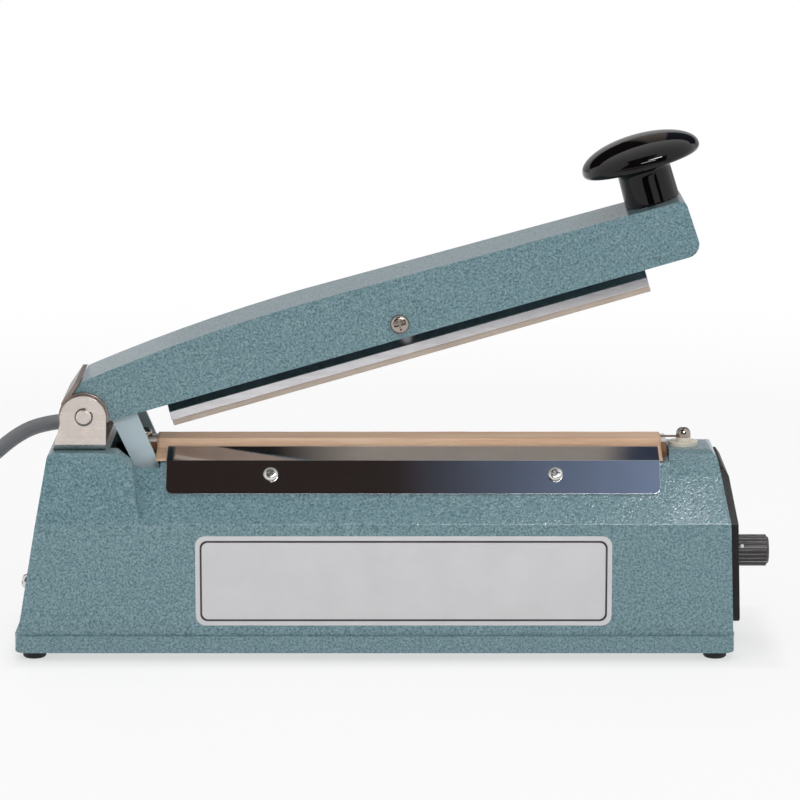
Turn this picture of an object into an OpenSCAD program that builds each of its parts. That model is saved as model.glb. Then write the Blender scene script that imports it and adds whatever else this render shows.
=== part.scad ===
// Hand impulse sealer: a cast base with a heated platen, a sprung cast arm with a floating
// press bar, and a timer on the end panel. Millimetres, Z up, the front towards -Y.

/* [Sealing line] */
// Length of the press bar
seal_len = 207; // [180:1:260]
// From the hinge pin to the near end of the press bar
bar_start = 32.7; // [32.4:0.1:40]
// Opening angle of the arm at rest
arm_tilt = 16; // [12:0.5:17]

/* [Base casting] */
// From the end of the flange to the hinge pin
pin_inset = 29.2; // [28:0.1:34]
// From the far end of the press bar to the end of the flange
end_room = 30; // [28:0.1:40]
// Width of the flange
base_w = 80; // [76:1:92]
// Height of the flange
flange_h = 7.2; // [5:0.1:9]
// Step from the flange in to the wall
flange_step = 1.4; // [0.8:0.1:2]
// Corner radius of the flange in plan
flange_r = 5; // [3:0.5:8]
// Wall thickness of the base
base_wall = 3.5; // [3:0.1:4.5]
// Inward draft of each wall from the flange to the shoulder
wall_draft = 0.6; // [0.2:0.1:1.5]
// Height of the shoulder line
shoulder_z = 58; // [54:0.5:62]
// Height of the saddle that carries the platen
saddle_z = 80.5; // [77:0.5:84]
// Rise of the end block above the saddle
end_block_rise = 3.4; // [2.6:0.1:4]
// Half width of the end block at its top, before its edges are rounded
end_block_half = 18.1; // [17:0.1:19]
// Radius of the long upper edges of the end block
end_block_r = 21; // [4:1:22]
// Length of the end block at its top
end_block_len = 19.3; // [18.2:0.1:22]
// Rise of the hinge block above the saddle
hinge_rise = 5.7; // [5:0.1:7]
// Half width of the hinge block at its top
hinge_half = 30; // [28:0.5:32]
// Inward lean of the hinge end wall over its height
hinge_lean = 13; // [10:0.1:14]
// Inward lean of the far end wall above the shoulder
far_lean = 4.8; // [3:0.1:6]
// Edge radius of the casting
cast_r = 2; // [1:0.5:2.5]

/* [Feet and bottom] */
// Height of a rubber foot
foot_h = 3.8; // [3.6:0.1:6]
// Diameter of a rubber foot
foot_d = 10.4; // [9.6:0.1:12]
// From each end of the flange to the foot
foot_inset = 7.6; // [7.5:0.1:10]
// From each side of the flange to the foot
foot_side = 9.5; // [9.5:0.5:14]
// Thickness of the bottom plate
bottom_t = 1.2; // [0.8:0.1:2]

/* [Hinge] */
// Height of the pin above the hinge block
pin_rise = 14.2; // [13.6:0.1:16]
// Diameter of the hinge pin
pin_d = 6.4; // [5:0.1:7]
// How far the pin stands out of each ear
pin_proud = 1.6; // [0.8:0.1:3]
// Sheet thickness of the base bracket
bracket_t = 2.5; // [2:0.1:3]
// Radius of the ear of the bracket
ear_r = 9.6; // [9:0.1:11]
// Drop from the pin to the centre of the ear's arc
ear_drop = 0.8; // [0.4:0.1:2]
// Sheet thickness of the arm's hinge leaf
leaf_t = 1.9; // [1.5:0.1:2.2]
// Gap between the leaf and the ear of the bracket
ear_gap = 0.6; // [0.4:0.1:1]

/* [Arm] */
// Width of the arm casting
arm_w = 38; // [36:0.5:42]
// Wall thickness of the arm
arm_wall = 3; // [2.5:0.1:3.5]
// Depth of the arm below the pin
arm_below = 5.4; // [5:0.1:6.4]
// Height of the arm above the pin at the hinge
arm_rear_h = 13.6; // [13:0.1:14.5]
// Height of the arm above the pin at its crown
arm_front_h = 19.9; // [18.5:0.1:22]
// From the far end of the press bar to the nose of the arm
arm_nose = 24.9; // [22:0.1:30]
// Rise from the pin line to the cross screw
pivot_rise = 0.8; // [0.2:0.1:1.6]

/* [Lift lever] */
// Sheet thickness of the lever
lever_t = 2; // [1.5:0.1:2.2]
// Gap between the lever and each side wall of the arm
lever_side = 1; // [0.8:0.1:2]
// Length of the lever below the pin line
lever_tail = 44.5; // [42:0.5:47]
// Depth of the lever's flange at the pin line
lever_depth = 10.7; // [9.5:0.1:11.5]

/* [Press bar] */
// Width of the press bar
bar_w = 15.5; // [13:0.5:17]
// From the pin line to the foot of the bar
bar_low = 14.3; // [13.6:0.1:15.6]
// Height of the upright face of the bar
bar_face = 3.7; // [3:0.1:5]
// Width of the rubber strip
strip_w = 12; // [9:0.5:12]
// How far the rubber strip stands out of the bar
strip_proud = 2.8; // [2:0.1:3.5]
// Diameter of the cross screw
cross_d = 4; // [3.5:0.1:5]
// Gap between strip and cover with the arm closed
seal_gap = 0.3; // [0.3:0.05:0.5]

/* [Handle knob] */
// Diameter of the knob
knob_d = 50; // [44:1:56]
// Diameter of the neck
knob_neck_d = 23; // [20:0.5:26]
// Height of the rim above the arm
knob_rim_h = 18.9; // [17:0.1:22]
// Height of the dome above the rim
knob_dome_h = 9.6; // [7:0.1:12]
// From the nose of the arm back to the axis of the knob
knob_back = 14.2; // [13:0.1:17]

/* [Platen] */
// Half width of the ridge at its top
ridge_half = 6; // [5:0.1:6.5]
// Height of the platen bar above the saddle
platen_h = 5.7; // [5.2:0.1:6.5]
// Half width of the shoulder of the platen
platen_half = 9.5; // [8.5:0.1:10]
// Height of the shoulder of the platen
platen_step = 2.8; // [1.8:0.1:3.2]
// Thickness of the insulating strip
insul_t = 1; // [0.6:0.1:1.5]
// Width of the heating element
element_w = 3; // [2:0.5:5]
// Thickness of the heating element
element_t = 0.3; // [0.2:0.05:0.5]
// Thickness of the cover cloth
cover_t = 0.5; // [0.3:0.05:0.6]

/* [Clamp plates] */
// Thickness of a clamp plate
clamp_t = 1.2; // [1:0.1:1.5]
// Length of the leg that lies on the slope
clamp_leg = 14.9; // [12:0.1:16]
// Distance between the two screws of a plate
clamp_pitch = 118; // [90:1:140]

/* [End panel and timer] */
// Thickness of the end panel
panel_t = 3.2; // [2.6:0.1:4]
// Height of the lower edge of the panel
panel_low = 16; // [14:0.5:20]
// Height of the timer knob's axis
timer_z = 38; // [34:0.5:40]
// Diameter of the timer knob
timer_d = 13.4; // [12:0.1:16]
// Length of the timer knob
timer_len = 14.5; // [11:0.1:18]
// Number of ribs on the timer knob
timer_ribs = 24; // [16:1:30]
// Diameter of the potentiometer's shaft
shaft_d = 6; // [4:0.5:6]
// Diameter of the signal lamp
lamp_d = 7; // [5:0.5:8]
// Height of the signal lamp
lamp_z = 52; // [50:0.5:53]

/* [Inside] */
// Length of the transformer core
core_len = 60; // [50:1:70]
// Height of the transformer core
core_h = 50; // [44:1:54]
// Stack of the transformer core
core_stack = 26; // [20:1:30]
// Outer diameter of the return spring
spring_d = 10; // [8:0.5:11]
// Wire of the return spring
spring_wire = 1.2; // [0.8:0.1:1.4]
// Curls of the return spring
spring_curls = 11; // [8:1:12]

/* [Cord] */
// Diameter of the cord
cord_d = 6.8; // [5:0.1:7]
// Outer radius of the coil's centre line
coil_r = 51.5; // [49:0.5:56]
// Turns of the lower layer of the coil
coil_turns = 2.5; // [2:0.5:2.5]
// Step from one turn of the coil to the next
coil_step = 8.6; // [8.6:0.1:9.5]
// Climb between the layers of the coil
coil_rise = 7.4; // [7.4:0.1:9]

/* [Fits] */
// Radial clearance of a turning or sliding fit
run_clear = 0.05; // [0.02:0.01:0.1]
// Radial clearance of a screw in its hole
screw_clear = 0.1; // [0.05:0.05:0.3]
// Gap between pieces that are dropped into place
drop_gap = 0.3; // [0.2:0.05:0.5]

/* [Hidden] */
$fn = 64;
eps = 0.01;
// How far a cutter runs past the face that it opens
over = 1;
// How far a drill runs past a wall
drill = 5;

// Lengths along X, counted from the hinge pin
base_len = pin_inset + bar_start + seal_len + end_room;
bar_end = bar_start + seal_len;
far_end = bar_end + end_room;
pivot_u = bar_start + seal_len / 2;
panel_proud = 2.1;
timer_gap = 0.3;
overall = base_len + panel_proud + timer_gap + timer_len;
pin_x = pin_inset - overall / 2;
arm_end = bar_end + arm_nose;
knob_u = arm_end - knob_back;

// Heights
flange_top = foot_h + flange_h;
block_z = saddle_z + end_block_rise;
hinge_z = saddle_z + hinge_rise;
pin_z = hinge_z + pin_rise;
plate_top = foot_h + bottom_t;

// Walls of the base: half widths and end lines
wall_half = base_w / 2 - flange_step;
shoulder_half = wall_half - wall_draft;
slope = (shoulder_half - end_block_half) / (block_z - shoulder_z);
slope_k = sqrt(1 + slope * slope);
slope_a = atan(slope);
// The hinge block's shoulder starts its curve at the same height as the long body's, on one wall plane
draft_a = atan(wall_draft / (shoulder_z - foot_h - over));
hinge_a = atan((shoulder_half - hinge_half) / (hinge_z - shoulder_z));
hinge_shoulder_r = cast_r * tan((slope_a - draft_a) / 2) / tan((hinge_a - draft_a) / 2);
foot_y = base_w / 2 - foot_side;
near_low = flange_step - pin_inset;
near_tan = hinge_lean / (hinge_z - flange_top);
near_a = atan(near_tan);
far_low = far_end - flange_step / 2;
end_draft = 1.6;
far_shoulder = far_low - end_draft;
far_top = far_shoulder - far_lean;
far_tan = far_lean / (block_z - shoulder_z);
saddle_far = far_top - end_block_len;
saddle_near = 20.2;
hinge_flat = 13.5;
crease_low = 23.3;
ceiling = saddle_z - base_wall;
// Steps of a wide edge radius
wide_arc = 12;
// Extra wall round the room inside the hinge block
block_extra = 0.4;
function near_x(z) = near_low + (z - flange_top) * near_tan;
function far_x(z) = z > shoulder_z
    ? far_shoulder - (z - shoulder_z) * far_tan
    : far_low - end_draft * (z - flange_top) / (shoulder_z - flange_top);
function slope_y(z) = shoulder_half - (z - shoulder_z) * slope;

// Hinge widths, from the arm outwards
arm_half = arm_w / 2;
leaf_half = arm_half + leaf_t;
ear_in = leaf_half + ear_gap;
ear_out = ear_in + bracket_t;
ear_back = 0.4;
ear_flare = 3.1;
bracket_far = ear_r - ear_back - drop_gap;
bracket_screw_x = -2;
bracket_bend = 0.5;
pin_chamfer = 0.6;
web_half = 12;

// Lever lines in the arm's frame: u = lever_u - v * lean
lever_u = 8.7;
lever_lean = 0.158;
lever_edge_lean = 0.128;
lever_w = arm_w - 2 * (arm_wall + lever_side);
lever_half = lever_w / 2;
slot_near = 10.3;
slot_side = 3.6;
slot_half = lever_half + slot_side;
notch_drop = 2;
notch_back = 0.8;
notch_half = slope_y(saddle_z - notch_drop) + drop_gap;
function lever_near(v) = lever_u - v * lever_lean;
function lever_far(v) = lever_u + lever_depth - v * lever_edge_lean;
function rest_x(u, v) = u * cos(arm_tilt) - v * sin(arm_tilt);
slot_v = (ceiling - pin_z - lever_far(0) * sin(arm_tilt)) / (cos(arm_tilt) - lever_edge_lean * sin(arm_tilt));
slot_far = rest_x(lever_far(slot_v), slot_v) + drop_gap;

// Platen stack
platen_top = saddle_z + platen_h;
insul_top = platen_top + insul_t;
element_top = insul_top + element_t;
cover_top = element_top + cover_t;
ridge_draft = 0.6;
ridge_foot = ridge_half + ridge_draft;
step_z = saddle_z + platen_step;
tongue_near = 20.6;
tongue_rise = 2;
tongue_low = saddle_z + tongue_rise;
term_inset = 2.9;
term_near = tongue_near + term_inset;
term_back = 6.7;
term_far = saddle_far + term_back;
term_tail = 4;
term_bush_d = 12.3;
term_disc_t = 1.4;
term_d = 3;
term_head_d = 6.2;
term_head_h = 3.6;
cover_tab = 3.7;
cover_near = bar_start - cover_tab;
flap_over = 2;
cover_flap_near = slot_far - flap_over;
cover_tab_edge = 3;
flap_short = 0.7;
saddle_step = 0.6;
platen_far = saddle_far - saddle_step - drop_gap;
cover_back = 2.3;
cover_far = platen_far - cover_back;

// Closing: the arm's angle that brings the strip down to the cover
bar_drop = bar_low + strip_proud + pivot_rise;
closed_a = asin((cover_top + seal_gap + bar_drop - pin_z - pivot_rise) / pivot_u);

// Screws
foot_screw_d = 3;
foot_head_d = 5.6;
foot_head_gap = 0.3;
foot_web = 1.8;
foot_seat = foot_h - foot_web;
foot_head_h = 1.6;
foot_bevel = 0.5;
foot_draft = 0.4;
clamp_screw_d = 3;
clamp_head_h = 2;
small_screw_d = 3;
small_head_h = 1.8;
screw_short = 1;
end_head_d = 6;
end_head_h = 2.4;
panel_head_h = 1.6;
panel_screw_y = 24;
panel_screw_rise = 8;
platen_pitch = 140;
platen_roof = 2;
head_ratio = 2;
cross_w = 0.8;
boss_r = 3.6;
boss_rise = 9;
boss_top = flange_top + boss_rise;
boss_roof = 2;

// Clamp plates: from the fold to their screws, and their bends
clamp_fold = slope_y(saddle_z);
clamp_mid = 6.1;
clamp_bend_in = 0.5;
clamp_bend_out = 0.4;
clamp_corner = 2.9;
clamp_inset = 1.1;
clamp_near = bar_start + clamp_inset;
clamp_len = seal_len - 2 * clamp_inset;

// Switch, spring and their bracket behind the hinge end wall
strip_z = 31;
strip_half_h = 6;
upright_w = 12;
shelf_w = 10;
strip_over = 5;
bracket_sheet = 1.5;
end_screw_y = 26;
switch_y = 9.5;
switch_half = 3.2;
switch_z = 58;
switch_half_h = 10;
plunger_d = 3;
plunger_v = (switch_z + plunger_d / 2 - pin_z) / cos(closed_a);
plunger_face = lever_near(plunger_v) * cos(closed_a) - plunger_v * sin(closed_a);
plunger_stroke = 1.2;
plunger_tip = plunger_face - seal_gap + plunger_stroke;
switch_depth = 10;
plunger_out = 4.3;
plunger_in = 5;
switch_far = plunger_tip - plunger_out;
spring_y = -5.5;
spring_z = 64;
spring_r = (spring_d - spring_wire) / 2;
curl_rings = 8;
seat_x = -8;
seat_rim = 1.5;
spigot_len = 6;
spigot_gap = 0.5;
spring_top_v = (spring_z + spring_d / 2 - pin_z - lever_near(0) * sin(arm_tilt))
    / (cos(arm_tilt) - lever_lean * sin(arm_tilt));
spring_far = rest_x(lever_near(spring_top_v), spring_top_v) - 2 * drop_gap;

// Timer side
pot_d = 16;
pot_t = 8;
bush_d = shaft_d + 2;
nut_af = 9.5;
nut_t = 2;
wall_in = far_shoulder - base_wall;
board_t = 1.6;
board_x = wall_in - pot_t - board_t;
panel_face = far_end + panel_proud;
panel_drop = 5.5;
panel_top = block_z - panel_drop;
panel_kink = shoulder_z - 0.5;
panel_inset = 1.6;
panel_side = 2;
panel_lean = 1.2;
panel_cut = 3.3;
panel_tip = 1.7;
panel_sink = 2;
nut_seat = panel_face - panel_lean;
panel_bevel = [0.4, 0.8];
panel_r = 3;
panel_top_r = 2;
lamp_back = 4;
lamp_edge = 0.6;
pot_floor = 2;
thread_proud = 0.4;
timer_cap = 3;
timer_bevel = 1;
board_half = 22;
board_low = timer_z - 16;
board_h = 34;
capacitor_d = 10;
capacitor_len = 16;
capacitor_y = -12;
capacitor_rise = 8;
relay_size = [12, 16, 20];
relay_y = 2;
relay_drop = 12;

// Transformer
core_near = 105;
window_w = core_len / 6;
frame_t = 1.2;
frame_foot = 12;
frame_edge = 2;
bobbin_t = 1.5;
bobbin_short = 2;
winding_in = 1;

// Cord outlet on the rear wall of the hinge block
outlet_x = 12;
outlet_z = 76;
outlet_y = 36;
outlet_boss_r = 8;
bush_len = 18;
bush_flange_t = 2;
bush_wall = 1.4;
bush_neck_r = cord_d / 2 + bush_wall;
bush_rim = 2;
bush_back = 4;
bush_taper = [0.8, 0.4];

// Cord route, X counted from the hinge pin
lead_points = [
    [12, 38, 76], [12, 46, 76], [12, 54, 76], [12, 57, 76], [8, 70, 76], [-2, 80, 76], [-16, 84, 76],
    [-24, 84, 75.4], [-33, 84, 73], [-41, 84, 68.5], [-49, 84, 62], [-58, 84, 54],
    [-68, 83, 44.5], [-78, 82, 35], [-88, 81, 25.5], [-98, 80.5, 17], [-107, 80, 10],
    [-114, 80, 5.6], [-120, 80, 4.6], [-127, 80, 4.6]
];
coil_x = -134;
coil_y = lead_points[len(lead_points) - 1][1] - coil_r;
coil_z = lead_points[len(lead_points) - 1][2];
coil_in_r = coil_r - coil_turns * coil_step;
coil_out_turns = coil_turns - 0.5;
loop_rings = 24;
tail_len = 62;
tie_w = 9;
tie_t = 0.8;
plug_len = 34;
plug_w = 26;
plug_h = 24;
plug_r = 5;
plug_grip = 14;
plug_neck = [10, 3];
blade_y = 6.35;
blade_z = 2;
blade_size = [6.3, 1.5, 17];
earth_z = -7.5;
earth_d = 4.8;
earth_len = 20;
tail_steps = 3;

// Frames and shared shapes

// X counted from the hinge pin
module from_pin() {
    translate([pin_x, 0, 0]) children();
}

// The arm's own frame: u along the arm, v square to it, about the pin
module arm_frame() {
    translate([pin_x, 0, pin_z]) rotate([0, -arm_tilt, 0]) children();
}

// Outline in X and Z, drawn through Y about the middle
module prism_y(points, width) {
    rotate([90, 0, 0]) linear_extrude(width, center = true) polygon(points);
}

// Outline in Y and Z, drawn along X
module prism_x(points, x0, x1) {
    translate([x0, 0, 0]) rotate([90, 0, 90]) linear_extrude(x1 - x0) polygon(points);
}

// Points of an arc
function arc(c, r, a0, a1, n) =
    [for (i = [0:n]) let(a = a0 + (a1 - a0) * i / n) [c[0] + r * cos(a), c[1] + r * sin(a)]];

// Outline with each corner rounded to its own radius: points are [x, y, r]
function rounded(p, n = 5) = [for (i = [0:len(p) - 1]) each
    let(a = p[(i + len(p) - 1) % len(p)], b = p[i], c = p[(i + 1) % len(p)],
        u = unit([a[0] - b[0], a[1] - b[1]]), w = unit([c[0] - b[0], c[1] - b[1]]),
        half = acos(max(-1, min(1, u * w))) / 2,
        m = unit(u + w), o = [b[0], b[1]] + m * b[2] / sin(half),
        s = o + rot90(u, w) * b[2], e = o + rot90(w, u) * b[2])
    b[2] == 0 ? [[b[0], b[1]]]
        : [for (k = [0:n]) o + b[2] * unit((s - o) * (1 - k / n) + (e - o) * k / n)]];
function unit(v) = v / norm(v);
// Unit normal of u on the side away from w
function rot90(u, w) = let(q = [-u[1], u[0]]) q * w > 0 ? -q : q;

// Round bar along Y
module bar_y(x, z, d, y0, y1) {
    translate([x, y0, z]) rotate([-90, 0, 0]) cylinder(d = d, h = y1 - y0);
}

// Round bar along X
module bar_x(x0, x1, d, y, z) {
    translate([x0, y, z]) rotate([0, 90, 0]) cylinder(d = d, h = x1 - x0);
}

// Pan-head screw along -Z, the head standing on z = 0, with a cross recess
module pan_screw(d, l, head_d, head_h) {
    difference() {
        union() {
            translate([0, 0, -l]) cylinder(d = d, h = l + eps);
            rotate_extrude() polygon(concat([[0, 0], [head_d / 2, 0]],
                arc([head_d / 2 - head_h * 0.7, head_h * 0.3], head_h * 0.7, 0, 90, 6),
                [[0, head_h]]));
        }
        for (a = [0, 90]) rotate([0, 0, a])
            translate([-head_d * 0.3, -cross_w / 2, head_h * 0.45]) cube([head_d * 0.6, cross_w, head_h]);
    }
}

module small_screw(l) {
    pan_screw(small_screw_d, l, small_screw_d * head_ratio, small_head_h);
}

// Plain hole for a screw along Z
module screw_hole(d, depth, up = 1) {
    translate([0, 0, -depth]) cylinder(d = d + 2 * screw_clear, h = depth + up);
}

// Tube swept along points, with flat ends
function path_dir(p, i) = unit(p[min(i + 1, len(p) - 1)] - p[max(i - 1, 0)]);
function side_dir(t) = unit(cross([0, 0, 1], t));
module sweep(p, r, n) {
    points = [for (i = [0:len(p) - 1]) let(t = path_dir(p, i), s = side_dir(t), q = cross(t, s))
        for (k = [0:n - 1]) p[i] + r * (s * cos(360 * k / n) + q * sin(360 * k / n))];
    last = (len(p) - 1) * n;
    faces = concat(
        [for (k = [1:n - 2]) [0, k, k + 1]],
        [for (i = [0:len(p) - 2]) for (k = [0:n - 1]) each let(a = i * n + k, b = i * n + (k + 1) % n)
            [[a, a + n, b + n], [a, b + n, b]]],
        [for (k = [1:n - 2]) [last, last + k + 1, last + k]]);
    polyhedron(points, faces, convexity = 8);
}

// Places of repeated pieces

module at_feet() {
    for (x = [foot_inset - pin_inset, far_end - foot_inset], y = [-foot_y, foot_y])
        translate([x, y, 0]) children();
}

module at_bracket_screws() {
    for (y = [-web_half, web_half]) translate([bracket_screw_x, y, hinge_z + bracket_t]) children();
}

// Screws on both slopes, heads outwards
module at_clamp_screws() {
    for (s = [-1, 1], x = [-0.5, 0.5]) translate([pivot_u + x * clamp_pitch, 0, 0])
        mirror([0, s > 0 ? 1 : 0, 0])
            translate([0, -clamp_fold, saddle_z]) rotate([90 - slope_a, 0, 0])
                translate([0, -clamp_mid, clamp_t]) children();
}

// On the sloping hinge end wall, local X pointing inwards from its outer face
module on_near_wall() {
    translate([near_x(strip_z), 0, strip_z]) rotate([0, near_a, 0]) children();
}

module at_end_screws() {
    on_near_wall() for (y = [-end_screw_y, end_screw_y]) translate([0, y, 0]) rotate([0, -90, 0]) children();
}

module at_panel_screws() {
    for (y = [-panel_screw_y, panel_screw_y]) translate([0, y, panel_low + panel_screw_rise]) children();
}

module at_platen_screws() {
    for (x = [-0.5, 0.5]) translate([pivot_u + x * platen_pitch, 0, ceiling]) rotate([180, 0, 0]) children();
}

// Base

// Cross-section of the long body, shrunk by t
module body_section(t, top, x0, x1, top_r = 0) {
    k = t * (slope_k - 1) / slope;
    low = foot_h + (t > 0 ? -over : over);
    y_top = slope_y(top) - t * slope_k;
    right = [[wall_half - t, low, 0], [shoulder_half - t, shoulder_z - k, cast_r],
        [y_top, top, top_r]];
    left = [for (i = [2:-1:0]) [-right[i][0], right[i][1], right[i][2]]];
    prism_x(rounded(concat(right, left), top_r > cast_r ? wide_arc : 5), x0, x1);
}

// Cross-section of the hinge block, shrunk by t
module hinge_section(t, top, x0, x1) {
    y_top = hinge_half + (hinge_z - top) * (shoulder_half - hinge_half) / (hinge_z - shoulder_z);
    right = [[wall_half - t, foot_h + (t > 0 ? -over : over), 0],
        [shoulder_half - t, shoulder_z, t > 0 ? cast_r : hinge_shoulder_r],
        [y_top - t, top, t > 0 ? 0 : cast_r]];
    left = [for (i = [2:-1:0]) [-right[i][0], right[i][1], right[i][2]]];
    prism_x(rounded(concat(right, left)), x0, x1);
}

module body_outside() {
    intersection() {
        body_section(0, block_z, -pin_inset, saddle_far - saddle_step / 2);
        prism_y([[hinge_flat, 0], [far_end, 0], [far_end, saddle_z], [hinge_flat, saddle_z]], base_w);
    }
    intersection() {
        body_section(0, block_z, -pin_inset, far_end, end_block_r);
        prism_y(rounded([[saddle_far - saddle_step, 0, 0], [far_x(0), 0, 0], [far_shoulder, shoulder_z, 0],
            [far_top, block_z, cast_r * 2], [saddle_far, block_z, 1],
            [saddle_far - saddle_step, saddle_z, 0]]), base_w);
    }
    intersection() {
        hinge_section(0, hinge_z, -pin_inset, far_end);
        prism_y(rounded([[near_x(0), 0, 0], [crease_low, 0, 0], [crease_low, shoulder_z, 0],
            [saddle_near, saddle_z, 0], [hinge_flat, hinge_z, cast_r],
            [near_x(hinge_z), hinge_z, cast_r]]), base_w);
    }
    translate([-pin_inset, -base_w / 2, foot_h]) linear_extrude(flange_h)
        polygon(rounded([[0, 0, flange_r], [base_len, 0, flange_r],
            [base_len, base_w, flange_r], [0, base_w, flange_r]]));
}

module body_inside() {
    near_t = base_wall / cos(near_a);
    intersection() {
        body_section(base_wall, ceiling, -pin_inset, far_end);
        prism_y([[near_x(0) + near_t, 0], [far_x(0) - base_wall, 0], [far_shoulder - base_wall, shoulder_z],
            [far_x(ceiling) - base_wall, ceiling], [near_x(ceiling) + near_t, ceiling]], base_w);
    }
    block_wall = base_wall + block_extra;
    block_near = block_wall / cos(near_a);
    intersection() {
        hinge_section(block_wall, hinge_z - block_wall, -pin_inset, far_end);
        prism_y([[near_x(0) + block_near, 0], [hinge_flat - block_wall, 0],
            [hinge_flat - block_wall, hinge_z - block_wall],
            [near_x(hinge_z - block_wall) + block_near, hinge_z - block_wall]], base_w);
    }
}

module base_housing() {
    color("cadetblue") from_pin() difference() {
        union() {
            difference() {
                body_outside();
                body_inside();
            }
            at_feet() translate([0, 0, plate_top]) cylinder(r = boss_r, h = boss_top - plate_top);
            spring_boss();
            bar_y(outlet_x, outlet_z, 2 * outlet_boss_r, hinge_half - base_wall, outlet_y);
        }
        translate([slot_near, -slot_half, ceiling - drill])
            cube([slot_far - slot_near, 2 * slot_half, hinge_z]);
        translate([saddle_near - notch_back, -notch_half, saddle_z - notch_drop])
            cube([slot_far - saddle_near + notch_back, 2 * notch_half, hinge_rise]);
        at_feet() translate([0, 0, boss_top - boss_roof]) screw_hole(foot_screw_d, boss_top, 0);
        at_bracket_screws() screw_hole(small_screw_d, 3 * base_wall);
        at_clamp_screws() screw_hole(clamp_screw_d, 3 * base_wall);
        at_end_screws() screw_hole(small_screw_d, 2 * base_wall);
        at_platen_screws() screw_hole(small_screw_d, 2 * base_wall);
        bar_x(wall_in - drill, far_end + drill, bush_d + 2 * screw_clear, 0, timer_z);
        bar_x(wall_in - drill, far_end + drill, lamp_d + 2 * screw_clear, 0, lamp_z);
        at_panel_screws() bar_x(wall_in - drill, far_end + drill, small_screw_d + 2 * screw_clear, 0, 0);
        translate([term_far, 0, ceiling - drill]) cylinder(r = term_d + screw_clear, h = block_z);
        bar_y(outlet_x, outlet_z, 2 * (bush_neck_r + screw_clear), 0, base_w);
    }
}

// Boss on the hinge end wall that seats the return spring, with a spigot inside the curls
module spring_boss() {
    intersection() {
        union() {
            bar_x(-pin_inset, seat_x, spring_d + 2 * seat_rim, spring_y, spring_z);
            bar_x(seat_x - over, seat_x + spigot_len, spring_d - 2 * (spring_wire + spigot_gap),
                spring_y, spring_z);
        }
        prism_y([[near_x(0) + over, 0], [far_end, 0], [far_end, hinge_z],
            [near_x(hinge_z) + over, hinge_z]], base_w);
    }
}

module bottom_plate() {
    near = near_x(foot_h) + base_wall / cos(near_a) + drop_gap;
    half = wall_half - base_wall - drop_gap;
    color("dimgray") from_pin() difference() {
        translate([near, -half, foot_h])
            cube([far_x(foot_h) - base_wall - drop_gap - near, 2 * half, bottom_t]);
        at_feet() translate([0, 0, foot_h]) screw_hole(foot_screw_d, over, bottom_t + over);
        at_core_screws() translate([0, 0, foot_h]) screw_hole(small_screw_d, over, bottom_t + over);
    }
}

module rubber_feet() {
    color("#202020") from_pin() at_feet() difference() {
        rotate_extrude() polygon([[0, 0], [foot_d / 2 - foot_draft - foot_bevel, 0],
            [foot_d / 2 - foot_draft, foot_bevel],
            [foot_d / 2, foot_h], [0, foot_h]]);
        translate([0, 0, -over]) cylinder(r = foot_head_d / 2 + foot_head_gap, h = foot_seat + over);
        translate([0, 0, foot_h]) screw_hole(foot_screw_d, foot_h + over);
    }
}

module foot_screws() {
    color("silver") from_pin() at_feet() translate([0, 0, foot_seat]) rotate([180, 0, 0])
        pan_screw(foot_screw_d, boss_top - 2 * boss_roof - foot_seat, foot_head_d, foot_head_h);
}

// Bent sheet with two ears that carry the pin
module hinge_bracket() {
    c = [-ear_back, pin_rise - ear_drop];
    bend = bracket_t + bracket_bend;
    color("rosybrown") from_pin() difference() {
        intersection() {
            translate([0, 0, hinge_z]) prism_x(concat(
                arc([ear_in - bracket_bend, bend], bend, -90, 0, 6),
                [[ear_out, 2 * ear_r + pin_rise], [ear_in, 2 * ear_r + pin_rise], [ear_in, bracket_t],
                 [-ear_in, bracket_t], [-ear_in, 2 * ear_r + pin_rise], [-ear_out, 2 * ear_r + pin_rise]],
                arc([bracket_bend - ear_in, bend], bend, 180, 270, 6)), -3 * ear_r, 3 * ear_r);
            translate([0, 0, hinge_z]) prism_y(concat([[-ear_r - ear_back - ear_flare, 0], [bracket_far, 0]],
                arc(c, ear_r, -10, 190, 24)), 4 * ear_out);
        }
        bar_y(0, pin_z, pin_d + 2 * run_clear, -2 * ear_out, 2 * ear_out);
        at_bracket_screws() screw_hole(small_screw_d, 2 * bracket_t);
    }
}

module bracket_screws() {
    color("silver") from_pin() at_bracket_screws()
        small_screw(bracket_t + base_wall);
}

module hinge_pin() {
    half = ear_out + pin_proud;
    color("lightgray") from_pin() translate([0, -half, pin_z]) rotate([-90, 0, 0])
        rotate_extrude() polygon([[0, 0], [pin_d / 2 - pin_chamfer, 0], [pin_d / 2, pin_chamfer],
            [pin_d / 2, 2 * half - pin_chamfer], [pin_d / 2 - pin_chamfer, 2 * half], [0, 2 * half]]);
}

// Platen, element and cover

module platen_bar() {
    color("sienna") from_pin() difference() {
        union() {
            prism_x([[-platen_half, saddle_z], [platen_half, saddle_z], [platen_half, step_z],
                [ridge_foot, step_z], [ridge_half, platen_top], [-ridge_half, platen_top],
                [-ridge_foot, step_z], [-platen_half, step_z]], cover_flap_near, platen_far);
            translate([tongue_near, -ridge_half, tongue_low])
                cube([cover_flap_near - tongue_near + eps, 2 * ridge_half, platen_top - tongue_low]);
        }
        translate([term_near, 0, tongue_low]) screw_hole(term_d, over, platen_h);
        at_platen_screws() screw_hole(small_screw_d, base_wall + platen_h - platen_roof);
    }
}

module platen_screws() {
    color("silver") from_pin() at_platen_screws()
        small_screw(base_wall + platen_h - platen_roof - screw_short);
}

module insulating_strip() {
    color("white") from_pin() difference() {
        translate([tongue_near, -ridge_half, platen_top])
            cube([platen_far - tongue_near, 2 * ridge_half, insul_t]);
        translate([term_near, 0, platen_top]) screw_hole(term_d, over, 2 * insul_t);
    }
}

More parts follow.
